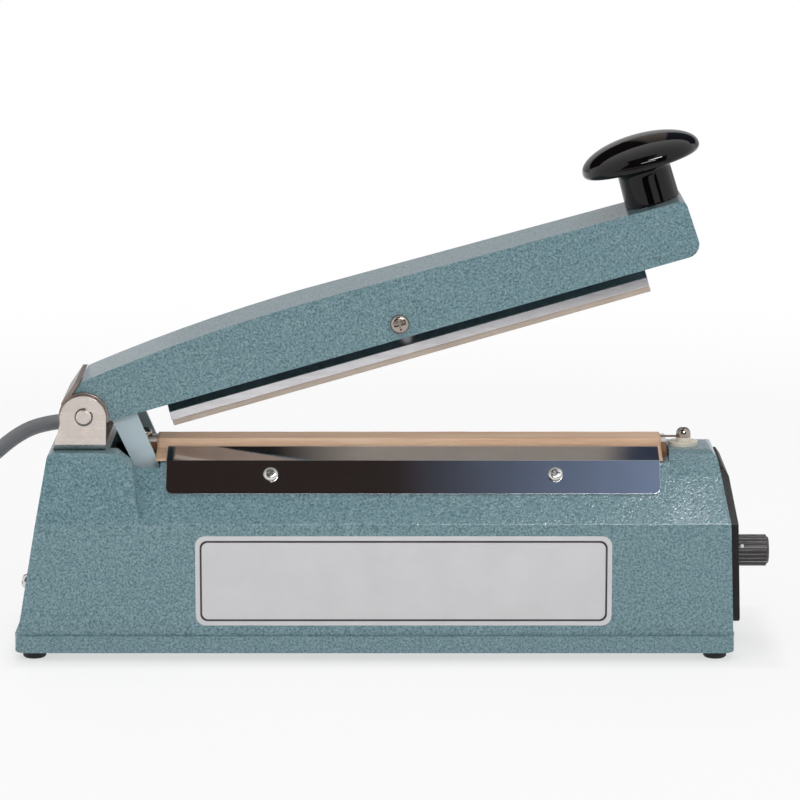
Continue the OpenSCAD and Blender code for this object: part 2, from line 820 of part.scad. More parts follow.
module heating_element() {
    lug = term_head_d / 2;
    color("peru") from_pin() difference() {
        translate([0, 0, insul_top]) linear_extrude(element_t) union() {
            translate([term_near, -element_w / 2]) square([term_far - term_near, element_w]);
            for (x = [term_near, term_far]) translate([x, 0]) circle(r = lug);
        }
        for (x = [term_near, term_far]) translate([x, 0, insul_top]) screw_hole(term_d, over);
    }
}

// Flanged bush that keeps the far terminal off the casting
module terminal_insulator() {
    color("ivory") from_pin() translate([term_far, 0, 0]) difference() {
        union() {
            translate([0, 0, block_z]) cylinder(d = term_bush_d, h = term_disc_t);
            translate([0, 0, ceiling - over]) cylinder(r = term_d, h = insul_top - ceiling + over);
        }
        translate([0, 0, insul_top]) screw_hole(term_d, 2 * block_z);
    }
}

module terminal_screws() {
    color("silver") from_pin() {
        translate([term_near, 0, element_top])
            pan_screw(term_d, element_top - tongue_low, term_head_d, term_head_h);
        translate([term_far, 0, element_top])
            pan_screw(term_d, element_top - ceiling + term_tail, term_head_d, term_head_h);
    }
}

// Height of the flap's underside at y, from the platen's shoulder out to the saddle's edge
function flap_z(y) = step_z - (y - platen_half) * (step_z - saddle_z) / (clamp_fold - platen_half);
flap_out = clamp_fold - flap_short;

// Cloth over the ridge, with a flap down each side
module ptfe_cover() {
    t = cover_t;
    tab = lever_half - lever_t - cover_tab_edge;
    right = [[ridge_half + t, cover_top], [ridge_foot + t, step_z + t], [platen_half, step_z + t],
        [flap_out, flap_z(flap_out) + t], [flap_out, flap_z(flap_out)], [platen_half, step_z],
        [ridge_foot, step_z], [ridge_half, element_top]];
    left = [for (i = [len(right) - 1:-1:0]) [-right[i][0], right[i][1]]];
    color("tan") from_pin() difference() {
        prism_x(concat(right, left), cover_near, cover_far);
        for (s = [-1, 1]) translate([cover_near - over, s > 0 ? tab : -base_w, 0])
            cube([cover_flap_near - cover_near + over, base_w - tab, platen_top - over]);
    }
}

// Bent bright plate that holds the cloth and lies on the slope of the casting
module clamp_plate() {
    n = [1 / slope_k, slope / slope_k];
    d = [slope / slope_k, -1 / slope_k];
    fold = [clamp_fold, saddle_z];
    foot = fold + d * clamp_leg;
    tip = [ridge_foot + 2 * cover_t, step_z + cover_t];
    fold_up = [clamp_fold, flap_z(clamp_fold) + cover_t];
    difference() {
        prism_x([[tip[0], tip[1] + eps], [platen_half, step_z + cover_t], fold_up, fold + d * clamp_bend_in,
            foot, foot + n * clamp_t, fold + n * clamp_t - d * clamp_bend_out,
            [platen_half, step_z + cover_t + clamp_t], [tip[0], tip[1] + clamp_t]],
            clamp_near, clamp_near + clamp_len);
        mirror([0, 1, 0]) at_clamp_screws() screw_hole(clamp_screw_d, 3 * clamp_t);
        for (x = [clamp_near, clamp_near + clamp_len]) corner_cut(x);
    }
}

// Rounds the two free corners of a clamp plate's lower edge
module corner_cut(x) {
    r = clamp_corner;
    s = x > pivot_u ? -1 : 1;
    translate([x, clamp_fold, saddle_z]) rotate([-90 + slope_a, 0, 0]) translate([0, clamp_leg, 0])
        difference() {
            translate([s > 0 ? -over : -r, -r, -2 * clamp_t]) cube([r + over, r + over, 4 * clamp_t]);
            translate([s * r, -r, -3 * clamp_t]) cylinder(r = r, h = 6 * clamp_t);
        }
}

module clamp_plate_front() {
    color("gainsboro") from_pin() mirror([0, 1, 0]) clamp_plate();
}

module clamp_plate_rear() {
    color("gainsboro") from_pin() clamp_plate();
}

module clamp_screws() {
    color("silver") from_pin() at_clamp_screws()
        pan_screw(clamp_screw_d, clamp_t + base_wall + screw_short, clamp_screw_d * head_ratio, clamp_head_h);
}

// End panel, timer and lamp

module end_panel() {
    half_low = wall_half - panel_side;
    half_mid = shoulder_half - panel_side;
    half_top = slope_y(panel_top) - panel_inset;
    color("#262626") from_pin() difference() {
        intersection() {
            prism_y([[far_x(panel_low), panel_low], [panel_face - panel_bevel[0], panel_low],
                [panel_face, panel_low + panel_bevel[1]], [panel_face - panel_lean, panel_kink],
                [far_x(panel_top - panel_cut) + panel_t, panel_top - panel_cut],
                [far_x(panel_top) + panel_tip, panel_top],
                [far_x(panel_top), panel_top], [far_shoulder, shoulder_z]], base_w);
            prism_x(rounded([[half_low, panel_low, panel_r], [half_mid, panel_kink, panel_r],
                [half_top, panel_top, panel_top_r], [-half_top, panel_top, panel_top_r],
                [-half_mid, panel_kink, panel_r], [-half_low, panel_low, panel_r]]),
                far_top - drill, far_end + 2 * drill);
        }
        bar_x(wall_in - drill, far_end + 2 * drill, bush_d + 2 * screw_clear, 0, timer_z);
        bar_x(wall_in - drill, far_end + 2 * drill, lamp_d + 2 * screw_clear, 0, lamp_z);
        at_panel_screws() {
            bar_x(wall_in - drill, far_end + 2 * drill, small_screw_d + 2 * screw_clear, 0, 0);
            bar_x(panel_face - panel_sink, far_end + 2 * drill,
                small_screw_d * head_ratio + 2 * drop_gap, 0, 0);
        }
        bar_x(nut_seat, far_end + 2 * drill, nut_af / cos(30) + 2 * drop_gap, 0, timer_z);
    }
}

// Screws sunk into the panel
module panel_screws() {
    seat = panel_face - panel_sink;
    color("#303030") from_pin() at_panel_screws() translate([seat, 0, 0]) rotate([0, 90, 0])
        pan_screw(small_screw_d, seat - wall_in + 2 * screw_short, small_screw_d * head_ratio, panel_head_h);
}

// Lens that ends behind the face of the panel, with its body behind the wall
module signal_lamp() {
    r = lamp_d / 2;
    h = panel_face - panel_lean - wall_in + lamp_back;
    color("firebrick") from_pin() translate([wall_in - lamp_back, 0, lamp_z]) rotate([0, 90, 0])
        rotate_extrude() polygon([[0, 0], [r, 0], [r, h - lamp_edge], [r - lamp_edge, h], [0, h]]);
}

module potentiometer() {
    color("slategray") from_pin() difference() {
        union() {
            bar_x(wall_in - pot_t, wall_in, pot_d, 0, timer_z);
            bar_x(wall_in - eps, nut_seat + nut_t + thread_proud, bush_d, 0, timer_z);
        }
        bar_x(wall_in - pot_t + pot_floor, panel_face + 2 * drill, shaft_d + 2 * run_clear, 0, timer_z);
    }
}

module potentiometer_nut() {
    color("silver") from_pin() difference() {
        translate([nut_seat, 0, timer_z]) rotate([0, 90, 0])
            cylinder(d = nut_af / cos(30), h = nut_t, $fn = 6);
        bar_x(nut_seat - over, nut_seat + nut_t + over, bush_d + screw_clear, 0, timer_z);
    }
}

module timer_shaft() {
    color("lightgray") from_pin()
        bar_x(wall_in - pot_t + pot_floor + timer_gap, panel_face + timer_gap + timer_len - timer_cap,
            shaft_d, 0, timer_z);
}

// Ribbed knob, hollow behind so that it clears the nut
module timer_knob() {
    rib_r = timer_d * 0.045;
    cap = timer_d - 1.6 * rib_r;
    skirt = nut_af / cos(30) / 2 + drop_gap;
    color("#303030") from_pin() translate([panel_face + timer_gap, 0, timer_z]) rotate([0, 90, 0])
    difference() {
        union() {
            linear_extrude(timer_len - timer_bevel) difference() {
                circle(d = timer_d);
                for (k = [0:timer_ribs - 1]) rotate(360 * k / timer_ribs)
                    translate([timer_d / 2 + rib_r * 0.35, 0]) circle(r = rib_r, $fn = 16);
            }
            translate([0, 0, timer_len - timer_bevel - eps])
                cylinder(d1 = cap, d2 = cap - 1.6 * timer_bevel, h = timer_bevel + eps);
        }
        translate([0, 0, -over]) cylinder(r = skirt, h = nut_t + 2 * over);
        translate([0, 0, -over])
            cylinder(d = shaft_d + screw_clear, h = over + timer_len - timer_cap + screw_clear);
    }
}

module timer_board() {
    color("darkgreen") from_pin() translate([board_x, -board_half, board_low])
        cube([board_t, 2 * board_half, board_h]);
}

module board_capacitor() {
    color("midnightblue") from_pin()
        bar_x(board_x - capacitor_len, board_x, capacitor_d, capacitor_y, timer_z + capacitor_rise);
}

module board_relay() {
    color("black") from_pin()
        translate([board_x - relay_size[0], relay_y, timer_z - relay_drop]) cube(relay_size);
}

// Transformer on the bottom plate

module at_core_screws() {
    for (x = [core_near - frame_foot / 2, core_near + core_len + frame_foot / 2])
        translate([x, 0, 0]) children();
}

module transformer_core() {
    color("gray") from_pin() translate([core_near, 0, plate_top]) difference() {
        translate([0, -core_stack / 2, 0]) cube([core_len, core_stack, core_h]);
        for (x = [window_w, core_len - 2 * window_w])
            translate([x, -core_stack, window_w]) cube([window_w, 2 * core_stack, core_h - 2 * window_w]);
    }
}

module transformer_winding() {
    g = drop_gap;
    half = core_stack / 2 + window_w - bobbin_short;
    wide = core_len - 2 * window_w - 2 * g;
    tall = core_h - 2 * window_w - 2 * g;
    color("goldenrod") from_pin() translate([core_near, 0, plate_top + window_w + g]) difference() {
        union() {
            for (z = [0, tall - bobbin_t]) translate([window_w + g, -half, z])
                cube([wide, 2 * half, bobbin_t]);
            translate([window_w + g + winding_in, winding_in - half, winding_in])
                cube([wide - 2 * winding_in, 2 * (half - winding_in), tall - 2 * winding_in]);
        }
        translate([2 * window_w, -core_stack / 2, -over]) cube([core_len - 4 * window_w, core_stack, core_h]);
    }
}

// Strap over the core, with a screwed foot at each end
module transformer_frame() {
    t = frame_t;
    w = core_stack - 2 * frame_edge;
    color("silver") from_pin() difference() {
        translate([core_near, 0, plate_top]) prism_y([[-frame_foot, 0], [0, 0], [0, core_h],
            [core_len, core_h], [core_len, 0], [core_len + frame_foot, 0],
            [core_len + frame_foot, t], [core_len + t, t],
            [core_len + t, core_h + t], [-t, core_h + t], [-t, t], [-frame_foot, t]], w);
        at_core_screws() translate([0, 0, plate_top]) screw_hole(small_screw_d, over, 2 * t);
    }
}

module transformer_screws() {
    color("silver") from_pin() at_core_screws() translate([0, 0, plate_top + frame_t])
        small_screw(frame_t + bottom_t);
}

// Switch, its bracket and the return spring

module switch_bracket() {
    t = bracket_sheet;
    shelf = switch_z - switch_half_h;
    shelf_near = near_x(shelf) + (base_wall + t / 2) / cos(near_a);
    reach = end_screw_y + strip_over;
    color("lightsteelblue") from_pin() difference() {
        union() {
            on_near_wall() {
                translate([base_wall, -reach, -strip_half_h]) cube([t, 2 * reach, 2 * strip_half_h]);
                translate([base_wall, switch_y - upright_w / 2, -strip_half_h])
                    cube([t, upright_w, (shelf - strip_z) / cos(near_a) + strip_half_h]);
            }
            translate([shelf_near, switch_y - shelf_w / 2, shelf - t])
                cube([switch_far - over - shelf_near, shelf_w, t]);
        }
        at_end_screws() screw_hole(small_screw_d, 3 * base_wall);
    }
}

module end_screws() {
    color("silver") from_pin() at_end_screws()
        pan_screw(small_screw_d, base_wall + bracket_sheet + screw_short, end_head_d, end_head_h);
}

module microswitch() {
    color("#303030") from_pin() difference() {
        translate([switch_far - switch_depth, switch_y - switch_half, switch_z - switch_half_h])
            cube([switch_depth, 2 * switch_half, 2 * switch_half_h]);
        bar_x(switch_far - plunger_in, switch_far + over, plunger_d + 2 * run_clear, switch_y, switch_z);
    }
}

module switch_plunger() {
    color("firebrick") from_pin()
        bar_x(switch_far - plunger_in + plunger_stroke + drop_gap, plunger_tip, plunger_d,
            switch_y, switch_z);
}

// Wire curls between the seat on the end wall and the lever
module return_spring() {
    r = spring_wire / 2;
    run = spring_far - seat_x - 2 * spring_wire;
    n = spring_curls * curl_rings;
    curl = [for (i = [0:n]) let(a = 360 * i / curl_rings)
        [seat_x + spring_wire + run * i / n, spring_y + spring_r * cos(a), spring_z + spring_r * sin(a)]];
    gap = run / spring_curls - spring_wire;
    echo(spring_gap = gap);
    color("silver") from_pin() curl_sweep(curl, r, 6);
}

// Tube along a helix about X
module curl_sweep(p, r, n) {
    points = [for (i = [0:len(p) - 1]) let(a = 360 * i / curl_rings, s = [0, cos(a), sin(a)])
        for (k = [0:n - 1]) p[i] + r * (s * cos(360 * k / n) + [1, 0, 0] * sin(360 * k / n))];
    last = (len(p) - 1) * n;
    faces = concat(
        [for (k = [1:n - 2]) [0, k + 1, k]],
        [for (i = [0:len(p) - 2]) for (k = [0:n - 1]) each let(a = i * n + k, b = i * n + (k + 1) % n)
            [[a, b + n, a + n], [a, b, b + n]]],
        [for (k = [1:n - 2]) [last, last + k, last + k + 1]]);
    polyhedron(points, faces, convexity = 12);
}

// Arm

// Height of the arm's top at u: an arch from the hinge up to the crown, then a straight fall
crown_u = 102;
nose_fall = 1.9;
function arm_top(u) = u < crown_u
    ? arm_front_h - (arm_front_h - arm_rear_h) * pow((crown_u - u) / (crown_u - rear_top), 2)
    : arm_front_h - nose_fall * (u - crown_u) / (arm_end - crown_u);
// End of the level pad under the arm's top that the lever is screwed to
pad_more = 1.5;
lever_pad = lever_u + lever_depth + pad_more;
rear_top = 2.4;
rear_low = -5;
rear_kink = 7.1;
rise_steps = 14;
nose_lean = 1.6;
nose_in = 0.4;
nose_r = 5.5;
nose_top_r = 3;

module arm_outline(t) {
    foot = t > 0 ? lever_pad : rear_top;
    rise = [for (i = [rise_steps:-1:1]) let(u = foot + (crown_u - foot) * i / rise_steps)
        [u, arm_top(u) - t, 0]];
    low = -arm_below - (t > 0 ? over : 0);
    open = t > 0 ? arm_w : 0;
    nose = arm_end - t;
    polygon(rounded(concat([[rear_low - open, low, 0], [nose - nose_in, low, t > 0 ? 0 : nose_r],
        [nose - nose_lean, arm_top(arm_end) - t, nose_top_r - (t > 0 ? 2 : 0)]], rise,
        t > 0 ? [[foot, arm_top(foot) - t, 0], [foot, arm_rear_h - t, 0]] : [],
        [[rear_top - open, arm_rear_h - t, 0]],
        t > 0 ? [] : [[rear_low, rear_kink, 0]])));
}

module arm_casting() {
    color("cadetblue") arm_frame() difference() {
        rotate([90, 0, 0]) linear_extrude(arm_w, center = true) arm_outline(0);
        rotate([90, 0, 0]) linear_extrude(arm_w - 2 * arm_wall, center = true) arm_outline(arm_wall);
        bar_y(0, 0, pin_d + pin_room, -arm_w, arm_w);
        bar_y(pivot_u, pivot_rise, cross_d + 2 * screw_clear, -arm_w, arm_w);
        translate([knob_u, 0, knob_v]) screw_hole(knob_screw_d, 2 * arm_wall);
        at_rivets() screw_hole(rivet_d, 2 * arm_wall);
        at_lever_screws() screw_hole(small_screw_d, lever_t + arm_wall - lever_roof);
    }
}

// Sheet-metal leaf: round cheeks on the pin, joined by a web round the rear of the arm
leaf_more = 0.8;
leaf_r = ear_r + leaf_more;
leaf_u = -ear_back * cos(arm_tilt) - ear_drop * sin(arm_tilt);
leaf_v = ear_back * sin(arm_tilt) - ear_drop * cos(arm_tilt);
web_gap = 0.4;
web_flare = 2.4;
web_bend = [0.6, 0.4];
pin_room = 1;
lever_roof = 0.6;
lever_screw_y = 7;
lever_screw_u = 6;
lever_r = 3;
lever_toe = 2;
rivet_d = 3;
rivet_place = [5.8, -1.6];
rivet_head_h = 0.8;
rivet_head_d = rivet_d * 1.8;

module arm_hinge_leaf() {
    t = leaf_t;
    color("rosybrown") arm_frame() difference() {
        union() {
            for (s = [-1, 1]) intersection() {
                bar_y(leaf_u, leaf_v, 2 * leaf_r, s > 0 ? arm_half : -leaf_half,
                    s > 0 ? leaf_half : -arm_half);
                translate([-arm_w, -arm_w, -arm_below]) cube(2 * arm_w);
            }
            prism_y([[rear_top - web_gap, arm_rear_h], [rear_low - web_gap, rear_kink],
                [rear_low - web_flare, 0], [rear_low - web_flare - t, 0],
                [rear_low - web_gap - t - web_bend[0], rear_kink + web_bend[1]],
                [rear_top - web_gap - t, arm_rear_h + web_bend[0]]], 2 * leaf_half);
        }
        bar_y(0, 0, pin_d + 2 * run_clear, -arm_w, arm_w);
        at_rivets() screw_hole(rivet_d, 2 * arm_wall, 2 * leaf_t);
    }
}

// Both cheeks, Z pointing out of the cheek
module at_rivets() {
    for (s = [-1, 1]) translate([rivet_place[0], s * arm_half, rivet_place[1]]) rotate([-s * 90, 0, 0])
        children();
}

module leaf_rivets() {
    color("lightgray") arm_frame() at_rivets() {
        translate([0, 0, -arm_wall]) cylinder(d = rivet_d, h = arm_wall + leaf_t);
        translate([0, 0, -arm_wall - rivet_head_h]) cylinder(d = rivet_head_d, h = rivet_head_h);
    }
}

module at_lever_screws() {
    for (y = [-lever_screw_y, lever_screw_y])
        translate([lever_u + lever_screw_u, y, arm_rear_h - arm_wall - lever_t]) rotate([180, 0, 0])
            children();
}

// Channel with its web towards the hinge, hung from the ceiling of the arm
module lift_lever() {
    top = arm_rear_h - arm_wall;
    low = -lever_tail;
    outline = rounded([[lever_near(top), top, 0], [lever_near(low), low, lever_r],
        [lever_far(low + lever_toe), low + lever_toe, lever_r],
        [lever_far(-arm_below), -arm_below, 0], [lever_far(0), top, 0]]);
    web = [[lever_near(top), top], [lever_near(low), low], [lever_near(low) + lever_t, low],
        [lever_near(top) + lever_t, top]];
    color("lightsteelblue") arm_frame() difference() {
        union() {
            for (s = [-1, 1]) translate([0, s * (lever_half - lever_t / 2), 0]) prism_y(outline, lever_t);
            intersection() {
                prism_y(web, lever_w);
                prism_y(outline, lever_w);
            }
            prism_y([[lever_near(top), top], [lever_near(top - lever_t), top - lever_t],
                [lever_far(0), top - lever_t], [lever_far(0), top]], lever_w);
        }
        at_lever_screws() screw_hole(small_screw_d, 2 * lever_t);
    }
}

module lever_screws() {
    color("silver") arm_frame() at_lever_screws()
        small_screw(lever_t + arm_wall - lever_roof - drop_gap);
}

knob_screw_d = 5;
knob_screw_in = 14;
knob_head_h = 3;
knob_v = arm_top(knob_u - knob_neck_d / 2);
knob_foot = 0.3;
knob_flare = 2.5;
knob_flare_h = 6.6;
knob_lip_r = 2.2;
knob_lip_in = 6.5;
knob_lip_h = 2.9;

// Turned mushroom handle
module handle_knob() {
    r = knob_d / 2;
    n = knob_neck_d / 2;
    h = knob_rim_h;
    waist = n - knob_foot;
    outline = concat([[0, 0], [waist, 0], [n, knob_foot], [waist, h - knob_flare_h]],
        arc([waist + knob_flare, h - knob_flare_h + 2 * knob_foot], knob_flare, 180, 105, 6),
        [[r - knob_lip_in, h - knob_lip_h]],
        arc([r - knob_lip_r, h - knob_foot], knob_lip_r, -68, 0, 6),
        [for (a = [6:6:90]) [r * cos(a), h + knob_dome_h * sin(a)]]);
    color("#1c1c1c") arm_frame() translate([knob_u, 0, knob_v]) difference() {
        rotate_extrude() polygon(outline);
        screw_hole(knob_screw_d, over, knob_screw_in + over);
    }
}

module knob_screw() {
    seat = arm_top(arm_end) - arm_wall;
    color("silver") arm_frame() translate([knob_u, 0, seat]) rotate([180, 0, 0])
        pan_screw(knob_screw_d, arm_wall + knob_screw_in, knob_screw_d * head_ratio, knob_head_h);
}

cross_head_h = 2.8;
cross_nut_h = cross_d * 0.8;
cross_nut_af = cross_d * 1.75;

// Cross screw that the press bar floats on, its head on the front face
module cross_screw() {
    color("silver") arm_frame() translate([pivot_u, -arm_half, pivot_rise]) rotate([90, 0, 0])
        pan_screw(cross_d, arm_w + cross_nut_h, cross_d * head_ratio, cross_head_h);
}

module cross_nut() {
    color("silver") arm_frame() difference() {
        translate([pivot_u, arm_half, pivot_rise]) rotate([-90, 0, 0])
            cylinder(d = cross_nut_af / cos(30), h = cross_nut_h, $fn = 6);
        bar_y(pivot_u, pivot_rise, cross_d + screw_clear, 0, arm_w);
    }
}

lug_half = 6;
lug_rim = 4;
spacer_rim = 2;

module cross_spacers() {
    inner = arm_half - arm_wall;
    color("silver") arm_frame() for (s = [-1, 1]) difference() {
        bar_y(pivot_u, pivot_rise, cross_d + 2 * spacer_rim,
            s > 0 ? lug_half + drop_gap : -inner, s > 0 ? inner : -lug_half - drop_gap);
        bar_y(pivot_u, pivot_rise, cross_d + 2 * screw_clear, -arm_w, arm_w);
    }
}

// Press bar

bar_shoulder = bar_low - bar_face;
bar_neck = 5;
bar_top = 2.5;
strip_in = 1.2;
strip_edge = 0.6;

module press_bar() {
    h = bar_w / 2;
    s = strip_w / 2;
    color("lightgray") arm_frame() difference() {
        union() {
            prism_x([[-bar_neck, -bar_top], [-bar_neck, -arm_below], [-h, -bar_shoulder], [-h, -bar_low],
                [-s, -bar_low], [-s, -bar_low + strip_in], [s, -bar_low + strip_in], [s, -bar_low],
                [h, -bar_low], [h, -bar_shoulder], [bar_neck, -arm_below], [bar_neck, -bar_top]],
                bar_start, bar_end);
            bar_y(pivot_u, pivot_rise, cross_d + 2 * lug_rim, -lug_half, lug_half);
            translate([pivot_u - cross_d / 2 - lug_rim, -lug_half, over - bar_shoulder])
                cube([cross_d + 2 * lug_rim, 2 * lug_half, bar_shoulder - over + pivot_rise]);
        }
        bar_y(pivot_u, pivot_rise, cross_d + 2 * run_clear, -arm_w, arm_w);
    }
}

module silicone_strip() {
    s = strip_w / 2;
    low = bar_low + strip_proud;
    color("tan") arm_frame()
        prism_x([[-s, -bar_low + strip_in], [-s, -low + strip_edge], [-s + strip_edge, -low],
            [s - strip_edge, -low], [s, -low + strip_edge], [s, -bar_low + strip_in]], bar_start, bar_end);
}

// Cord

// Moulded sleeve that grips the cord in the rear wall
module cord_bush() {
    n = bush_neck_r;
    color("#2c2c2c") from_pin() translate([outlet_x, outlet_y, outlet_z]) rotate([-90, 0, 0]) difference() {
        rotate_extrude() polygon([[0, -base_wall - bush_back], [n, -base_wall - bush_back], [n, 0],
            [n + bush_rim, 0], [n + bush_rim, bush_flange_t], [n + bush_taper[0], bush_flange_t],
            [n - bush_taper[1], bush_len], [0, bush_len]]);
        translate([0, 0, bush_len]) screw_hole(cord_d, 2 * bush_len);
    }
}

module cord_lead() {
    color("gray") from_pin() sweep(lead_points, cord_d / 2, 10);
}

// Centre line of the coil: in along the floor, up half a turn, out again, then a straight tail
lower_n = coil_turns * loop_rings;
climb_n = loop_rings / 2;
upper_n = coil_out_turns * loop_rings;
function coil_radius(i) = i < lower_n ? coil_r - coil_step * i / loop_rings
    : i < lower_n + climb_n ? coil_in_r
    : coil_in_r + coil_step * (i - lower_n - climb_n) / loop_rings;
function coil_height(i) = coil_z + coil_rise * max(0, min(1, (i - lower_n) / climb_n));
coil_n = lower_n + climb_n + upper_n;
coil_loops = [for (i = [0:coil_n]) let(a = 90 + 360 * i / loop_rings, r = coil_radius(i))
    [coil_x + r * cos(a), coil_y + r * sin(a), coil_height(i)]];
coil_last = coil_loops[coil_n];
coil_path = concat([lead_points[len(lead_points) - 1]], coil_loops,
    [for (k = [1:tail_steps]) coil_last + [-tail_len * k / tail_steps, 0, 0]]);
tail_end = coil_path[len(coil_path) - 1];

// Least distance between turns of the coil, measured on its points
coil_gap = min([for (i = [0:coil_n]) for (j = [i + 8:coil_n]) norm(coil_loops[i] - coil_loops[j])]) - cord_d;

module cord_coil() {
    echo(coil_gap = coil_gap);
    color("gray") from_pin() sweep(coil_path, cord_d / 2, 6);
}

// Flat band round one side of the coil
module cord_tie() {
    g = cord_d / 2 + drop_gap;
    near = coil_r - coil_step / 2 + g;
    far = sqrt(coil_in_r * coil_in_r - tie_w * tie_w / 4) - g;
    tall = coil_rise + 2 * g;
    low = coil_z - g;
    color("black") from_pin() translate([coil_x, coil_y - far, low]) difference() {
        translate([-tie_w / 2, far - near - tie_t, -tie_t])
            cube([tie_w, near - far + 2 * tie_t, tall + 2 * tie_t]);
        translate([-tie_w, far - near, 0]) cube([2 * tie_w, near - far, tall]);
    }
}

// Moulded plug lying flat, its grip tapering to the cord
module plug_body() {
    h = plug_h / 2;
    w = plug_w / 2;
    color("#333333") from_pin() translate(tail_end) rotate([0, -90, 0]) {
        translate([0, 0, plug_grip]) linear_extrude(plug_len - plug_grip)
            polygon(rounded([[-h, -w, plug_r], [h, -w, plug_r], [h, w, plug_r], [-h, w, plug_r]]));
        rotate_extrude() polygon([[0, 0], [bush_neck_r, 0], [cord_d / 2 + plug_neck[1], plug_neck[0]],
            [h - over, plug_grip + eps], [0, plug_grip + eps]]);
    }
}

module plug_pins() {
    color("silver") from_pin() translate(tail_end) rotate([0, -90, 0]) translate([0, 0, plug_len]) {
        for (y = [-blade_y, blade_y])
            translate([blade_z - blade_size[0] / 2, y - blade_size[1] / 2, 0]) cube(blade_size);
        translate([earth_z, 0, 0]) cylinder(d = earth_d, h = earth_len);
    }
}

base_housing();
bottom_plate();
rubber_feet();
foot_screws();
hinge_bracket();
bracket_screws();
hinge_pin();
platen_bar();
platen_screws();
insulating_strip();
heating_element();
terminal_insulator();
terminal_screws();
ptfe_cover();
clamp_plate_front();
clamp_plate_rear();
clamp_screws();
end_panel();
panel_screws();
signal_lamp();
potentiometer();
potentiometer_nut();
timer_board();
board_capacitor();
board_relay();
transformer_core();
transformer_winding();
transformer_frame();
transformer_screws();
switch_bracket();
end_screws();
microswitch();
switch_plunger();
return_spring();
cord_bush();
arm_casting();
arm_hinge_leaf();
leaf_rivets();
lift_lever();
lever_screws();
handle_knob();
knob_screw();
cross_screw();
cross_nut();
cross_spacers();
press_bar();
silicone_strip();
timer_knob();
timer_shaft();
cord_lead();
cord_coil();
cord_tie();
plug_body();
plug_pins();
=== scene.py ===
import math

import bpy
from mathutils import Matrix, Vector

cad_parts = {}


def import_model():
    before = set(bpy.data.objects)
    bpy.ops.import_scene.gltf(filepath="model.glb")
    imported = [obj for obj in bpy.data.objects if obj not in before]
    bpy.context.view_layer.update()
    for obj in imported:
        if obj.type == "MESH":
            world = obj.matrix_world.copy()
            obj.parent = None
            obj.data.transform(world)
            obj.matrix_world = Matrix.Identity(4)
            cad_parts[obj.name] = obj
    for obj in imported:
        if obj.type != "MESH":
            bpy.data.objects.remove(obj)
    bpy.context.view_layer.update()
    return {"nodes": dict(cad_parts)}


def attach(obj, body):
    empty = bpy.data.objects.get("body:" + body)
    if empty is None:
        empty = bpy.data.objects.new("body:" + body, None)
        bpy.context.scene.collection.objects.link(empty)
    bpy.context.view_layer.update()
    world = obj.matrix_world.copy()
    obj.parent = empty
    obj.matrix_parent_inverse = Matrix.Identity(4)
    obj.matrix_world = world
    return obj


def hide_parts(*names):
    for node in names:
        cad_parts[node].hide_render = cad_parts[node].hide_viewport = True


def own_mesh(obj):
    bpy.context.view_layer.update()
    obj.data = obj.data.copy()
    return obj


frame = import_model()
nodes = frame["nodes"]
scene = bpy.context.scene

# The hinge pin, in millimetres. U is X counted from it.
PIN_X = -128.7
PIN_Z = 100.4


def mm(u, y, z):
    """A point given from the hinge pin in millimetres, in the shared frame in metres."""
    return Vector((PIN_X + u, y, z)) * 0.001


# Camera

CAM_TARGET = Vector((0.0021, 0.0, 0.1028))
CAM_DISTANCE = 1.5
CAM_PITCH = math.radians(11.5)
CAM_LENS = 160.7

camera = bpy.data.objects.new("camera", bpy.data.cameras.new("camera"))
camera.data.lens = CAM_LENS
camera.data.sensor_width = 36.0
camera.data.clip_end = 50.0
camera.location = CAM_TARGET + CAM_DISTANCE * Vector((0, -math.cos(CAM_PITCH), math.sin(CAM_PITCH)))
camera.rotation_euler = (math.pi / 2 - CAM_PITCH, 0, 0)
scene.collection.objects.link(camera)
scene.camera = camera


# Materials

def lin(r, g, b):
    """An sRGB colour of 0 to 255 as linear values."""
    return [((c / 255 + 0.055) / 1.055) ** 2.4 if c > 10 else c / 255 / 12.92 for c in (r, g, b)] + [1.0]


